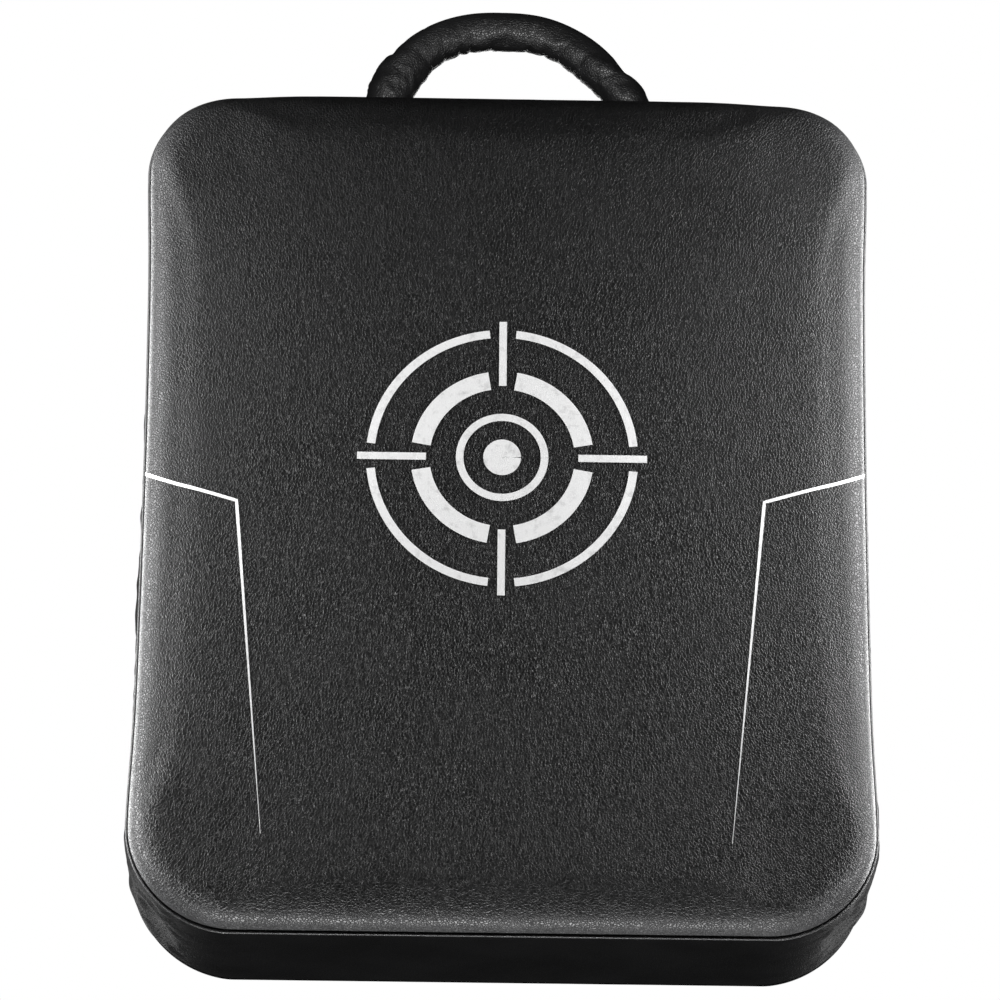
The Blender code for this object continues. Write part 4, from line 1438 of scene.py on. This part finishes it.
def zip_hardware():
    copy_of_node("zip_slider", "zip_slider_body", "metal", "zip_slider", edge=0.00035)
    copy_of_node("zip_pull", "zip_pull_tab", "rubber", "zip_pull", edge=0.00035)
    for where in ("left", "right"):
        copy_of_node(f"zip_stop_{where}", f"zip_stop_{where}_clip", "metal", "shield", edge=0.0003)


# ---- eyelets and inner pieces


def eyelet(node):
    """A vent eyelet, turned about the X axis: a domed flange, a rolled throat and a short barrel."""
    low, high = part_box(node)
    y, z = (low.y + high.y) / 2, (low.z + high.z) / 2
    side = math.copysign(1, low.x + high.x)
    root, face = sorted((abs(low.x), abs(high.x)))
    flange_r = (high.z - low.z) / 2
    bore_r, barrel_r = flange_r * 0.44, flange_r * 0.56
    dome, lip = 0.0010, 0.0003
    base = face - 0.0008
    section = [(root, bore_r), (base, bore_r)]
    for i in range(9):
        angle = math.pi * i / 8
        middle = (bore_r + flange_r) / 2
        section.append((base + dome * math.sin(angle), middle - (middle - bore_r) * math.cos(angle)))
    section += [(base - lip, flange_r * 0.98), (base - lip, barrel_r), (root, barrel_r)]
    drawn_in = HALF_W - waisted(HALF_W, z)
    sides = 40
    points = []
    for x, radius in section:
        centre = Vector((side * (x - drawn_in), y, z))
        points += ring(centre, Vector((0, radius, 0)), Vector((0, 0, radius)), sides)
    faces = grid_faces(len(section), sides, wrap_rows=True, wrap_columns=True)
    face_outwards(shield_piece(f"{node}_ring", points, faces, "metal", "metal", (node,)))


VENTS = range(1, 5)


def dress_inner_nodes():
    """What lies inside keeps its CAD shape, in its own stuff."""
    webbing = [f"{name}_{level}" for name in ("back_anchor", "zip_tape") for level in ("upper", "lower")]
    webbing += ["top_handle_anchor"] + [f"{name}_webbing" for name in ("top_handle", *GRIPS)]
    washers = [f"vent_washer_{number}" for number in VENTS]
    for nodes, material in ((webbing, "webbing"), (washers, "metal")):
        for node in nodes:
            slots = frame["nodes"][node].data.materials
            slots.clear()
            slots.append(MATERIALS[material])


# ---- studio


def studio_floor():
    """A pale floor, seen only from above so that it never hides the shield from a low camera."""
    stuff = Stuff("floor_paint", Roughness=0.75)
    colour = stuff.mix(stuff.cloud(0.5, detail=3.0), grey(0.74), grey(0.80))
    feed(stuff.shader.inputs["Base Color"], colour)
    clear = stuff.node("ShaderNodeBsdfTransparent").outputs[0]
    under = stuff.node("ShaderNodeNewGeometry").outputs["Backfacing"]
    choose = stuff.node("ShaderNodeMixShader", {0: under, 1: stuff.shader.outputs[0], 2: clear})
    feed(stuff.tree.nodes["Material Output"].inputs["Surface"], choose.outputs[0])
    half, z = 6.0, -0.0004
    corners = [(-half, -half, z), (half, -half, z), (half, half, z), (-half, half, z)]
    floor = new_piece("studio_floor", corners, [(0, 1, 2, 3)], stuff.material, smooth=False)
    for effect in ("shadow", "glossy", "diffuse"):
        setattr(floor, f"visible_{effect}", False)
    return floor


def world_light(strength, backdrop):
    """White behind the object, and a much dimmer even light from all round."""
    world = bpy.data.worlds.new("studio")
    bpy.context.scene.world = world
    world.use_nodes = True
    tree = world.node_tree
    fill = tree.nodes["Background"]
    feed(fill.inputs["Color"], grey(1.0))
    feed(fill.inputs["Strength"], strength)
    white = add_node(tree, "ShaderNodeBackground", {"Color": grey(1.0), "Strength": backdrop})
    seen = add_node(tree, "ShaderNodeLightPath").outputs["Is Camera Ray"]
    choose = add_node(tree, "ShaderNodeMixShader", {0: seen, 1: fill.outputs[0], 2: white.outputs[0]})
    feed(tree.nodes["World Output"].inputs["Surface"], choose.outputs[0])


def add_light(name, kind, place, aim, power):
    light = bpy.data.lights.new(name, kind)
    light.energy = power
    lamp = bpy.data.objects.new(name, light)
    lamp.location = place
    lamp.rotation_euler = (Vector(aim) - Vector(place)).to_track_quat("-Z", "Y").to_euler()
    bpy.context.scene.collection.objects.link(lamp)
    return lamp


def link_light(lamp, pieces, state):
    """Makes a light shine on some pieces only (INCLUDE) or on everything but them (EXCLUDE)."""
    group = bpy.data.collections.new(f"{lamp.name}_{state.lower()}")
    for number, piece in enumerate(pieces):
        group.objects.link(piece)
        group.collection_objects[number].light_linking.link_state = state
    lamp.light_linking.receiver_collection = group


def softbox(name, place, aim, size, power, pieces, state="INCLUDE"):
    lamp = add_light(name, "AREA", place, aim, power)
    lamp.data.shape = "RECTANGLE"
    lamp.data.size, lamp.data.size_y = size
    link_light(lamp, pieces, state)


def pieces_named(*names):
    return [bpy.data.objects[name] for name in names]


def lights(floor):
    """The strike face has a narrow box close beside it, a rim box level with its edge and one box underneath.
    The gussets, the carry handle, the back and the floor each have light of their own."""
    bpy.context.scene.view_settings.view_transform = "Standard"
    world_light(0.02, 1.0)
    prints = pieces_named("print_line_left", "print_line_right", "print_target")
    face = pieces_named("front_cover", "front_piping_cord") + prints
    handle = pieces_named("top_handle_leather")
    sides = pieces_named("gusset_lower_cover", "gusset_upper_cover")
    seams = pieces_named("back_piping_cord", "front_piping_cord", "seam_stitches")
    not_back = [floor] + sides + seams + handle
    middle, low = Vector((0.0, 0.0, MID_Z)), Vector((0.0, 0.0, 0.0))
    for side, where, power, rim_power, rim_z, rim_length in (
        (-1, "left", 2.7, 8.5, 0.20, 0.50),
        (1, "right", 2.9, 9.0, 0.29, 0.76),
    ):
        aim = (side * 0.13, FRONT_Y, 0.34)
        softbox(f"{where}_face_box", (side * 0.42, -0.165, 0.43), aim, (0.16, 0.42), power, face)
        aim = (side * 0.12, -0.090, 0.31)
        softbox(f"{where}_rim_box", (side * 0.62, -0.095, rim_z), aim, (0.10, rim_length), rim_power, face)
        softbox(f"{where}_back_box", (side * 1.3, 1.6, 0.75), middle, (0.80, 1.20), 38, not_back, "EXCLUDE")
        softbox(f"{where}_side_box", (side * 1.6, 0.0, 0.40), middle, (2.4, 2.0), 30, sides + seams)
        softbox(f"{where}_corner_box", (side * 0.9, 1.8, 0.10), (0.0, 0.0, 0.05), (0.50, 0.50), 1.2, sides)
    softbox("print_box", (0.0, -2.0, 0.30), (0.0, 0.0, 0.30), (1.0, 1.0), 10, prints)
    softbox("handle_box", (-0.10, -1.1, 0.30), HANDLE_AXIS, (0.9, 0.35), 15, handle)
    softbox("handle_back_box", (0.0, 1.6, 0.9), HANDLE_AXIS, (1.2, 0.6), 9, handle)
    softbox("top_box", (0.0, 0.6, 2.2), middle, (1.6, 1.0), 25, sides + seams)
    softbox("under_box", (0.0, 0.0, -1.3), low, (1.2, 0.5), 56, face)
    softbox("low_box", (0.0, -0.45, -1.3), low, (1.2, 0.9), 9, sides)
    sun = add_light("floor_light", "SUN", (0.6, 0.8, 3.0), low, 3.3)
    sun.data.angle = math.radians(70)
    link_light(sun, [floor], "INCLUDE")


CAMERA_AZIMUTH = -0.96
CAMERA_ELEVATION = -19.05
CAMERA_DISTANCE = 3.483
CAMERA_ROLL = 0.51
CAMERA_LENS = 182.7


CAMERA_AIM_X = -0.0036
CAMERA_AIM_UP = 0.0057


def camera():
    """Low and far off, looking up at the strike face through a long lens."""
    azimuth, elevation, roll = (math.radians(v) for v in (CAMERA_AZIMUTH, CAMERA_ELEVATION, CAMERA_ROLL))
    flat = math.cos(elevation)
    back = Vector((math.sin(azimuth) * flat, -math.cos(azimuth) * flat, math.sin(elevation)))
    data = bpy.data.cameras.new("camera")
    data.lens = CAMERA_LENS
    data.sensor_width = 36.0
    eye = bpy.data.objects.new("camera", data)
    eye.location = Vector((CAMERA_AIM_X, FRONT_SEAM_Y, MID_Z + CAMERA_AIM_UP)) + back * CAMERA_DISTANCE
    pose = (-back).to_track_quat("-Z", "Y").to_matrix()
    right, up = pose.col[0].copy(), pose.col[1].copy()
    pose.col[0] = right * math.cos(roll) + up * math.sin(roll)
    pose.col[1] = up * math.cos(roll) - right * math.sin(roll)
    pose.col[2] = back
    eye.rotation_euler = pose.to_euler()
    bpy.context.scene.collection.objects.link(eye)
    bpy.context.scene.camera = eye


# ---- build


def build():
    face = front_cover()
    panels = [face, back_cover(), *gussets()]
    tubes = {"top_handle": carry_handle(), **hand_grips()}
    loops = [forearm_loop("left", -1), forearm_loop("right", 1)]
    run_cloth()
    for piece in panels:
        step = piece.modifiers.new("smooth", "SUBSURF")
        step.levels = 1
        step.render_levels = 1
    bpy.context.view_layer.update()
    surface = BVHTree.FromObject(face, bpy.context.evaluated_depsgraph_get())
    print_lines(surface)
    target_print(surface)
    piping("front_piping_cord", FRONT_SEAM_Y, "front_piping")
    piping("back_piping_cord", BACK_SEAM_Y, "back_piping")
    seam_stitches()
    foam_blocks()
    for name, tube in tubes.items():
        finish_tube(tube, name)
    all_tabs()
    for loop in loops:
        finish_loop(*loop)
    zip_coils()
    zip_hems()
    zip_hardware()
    for number in VENTS:
        eyelet(f"vent_eyelet_{number}")
    dress_inner_nodes()


build()
lights(studio_floor())
camera()
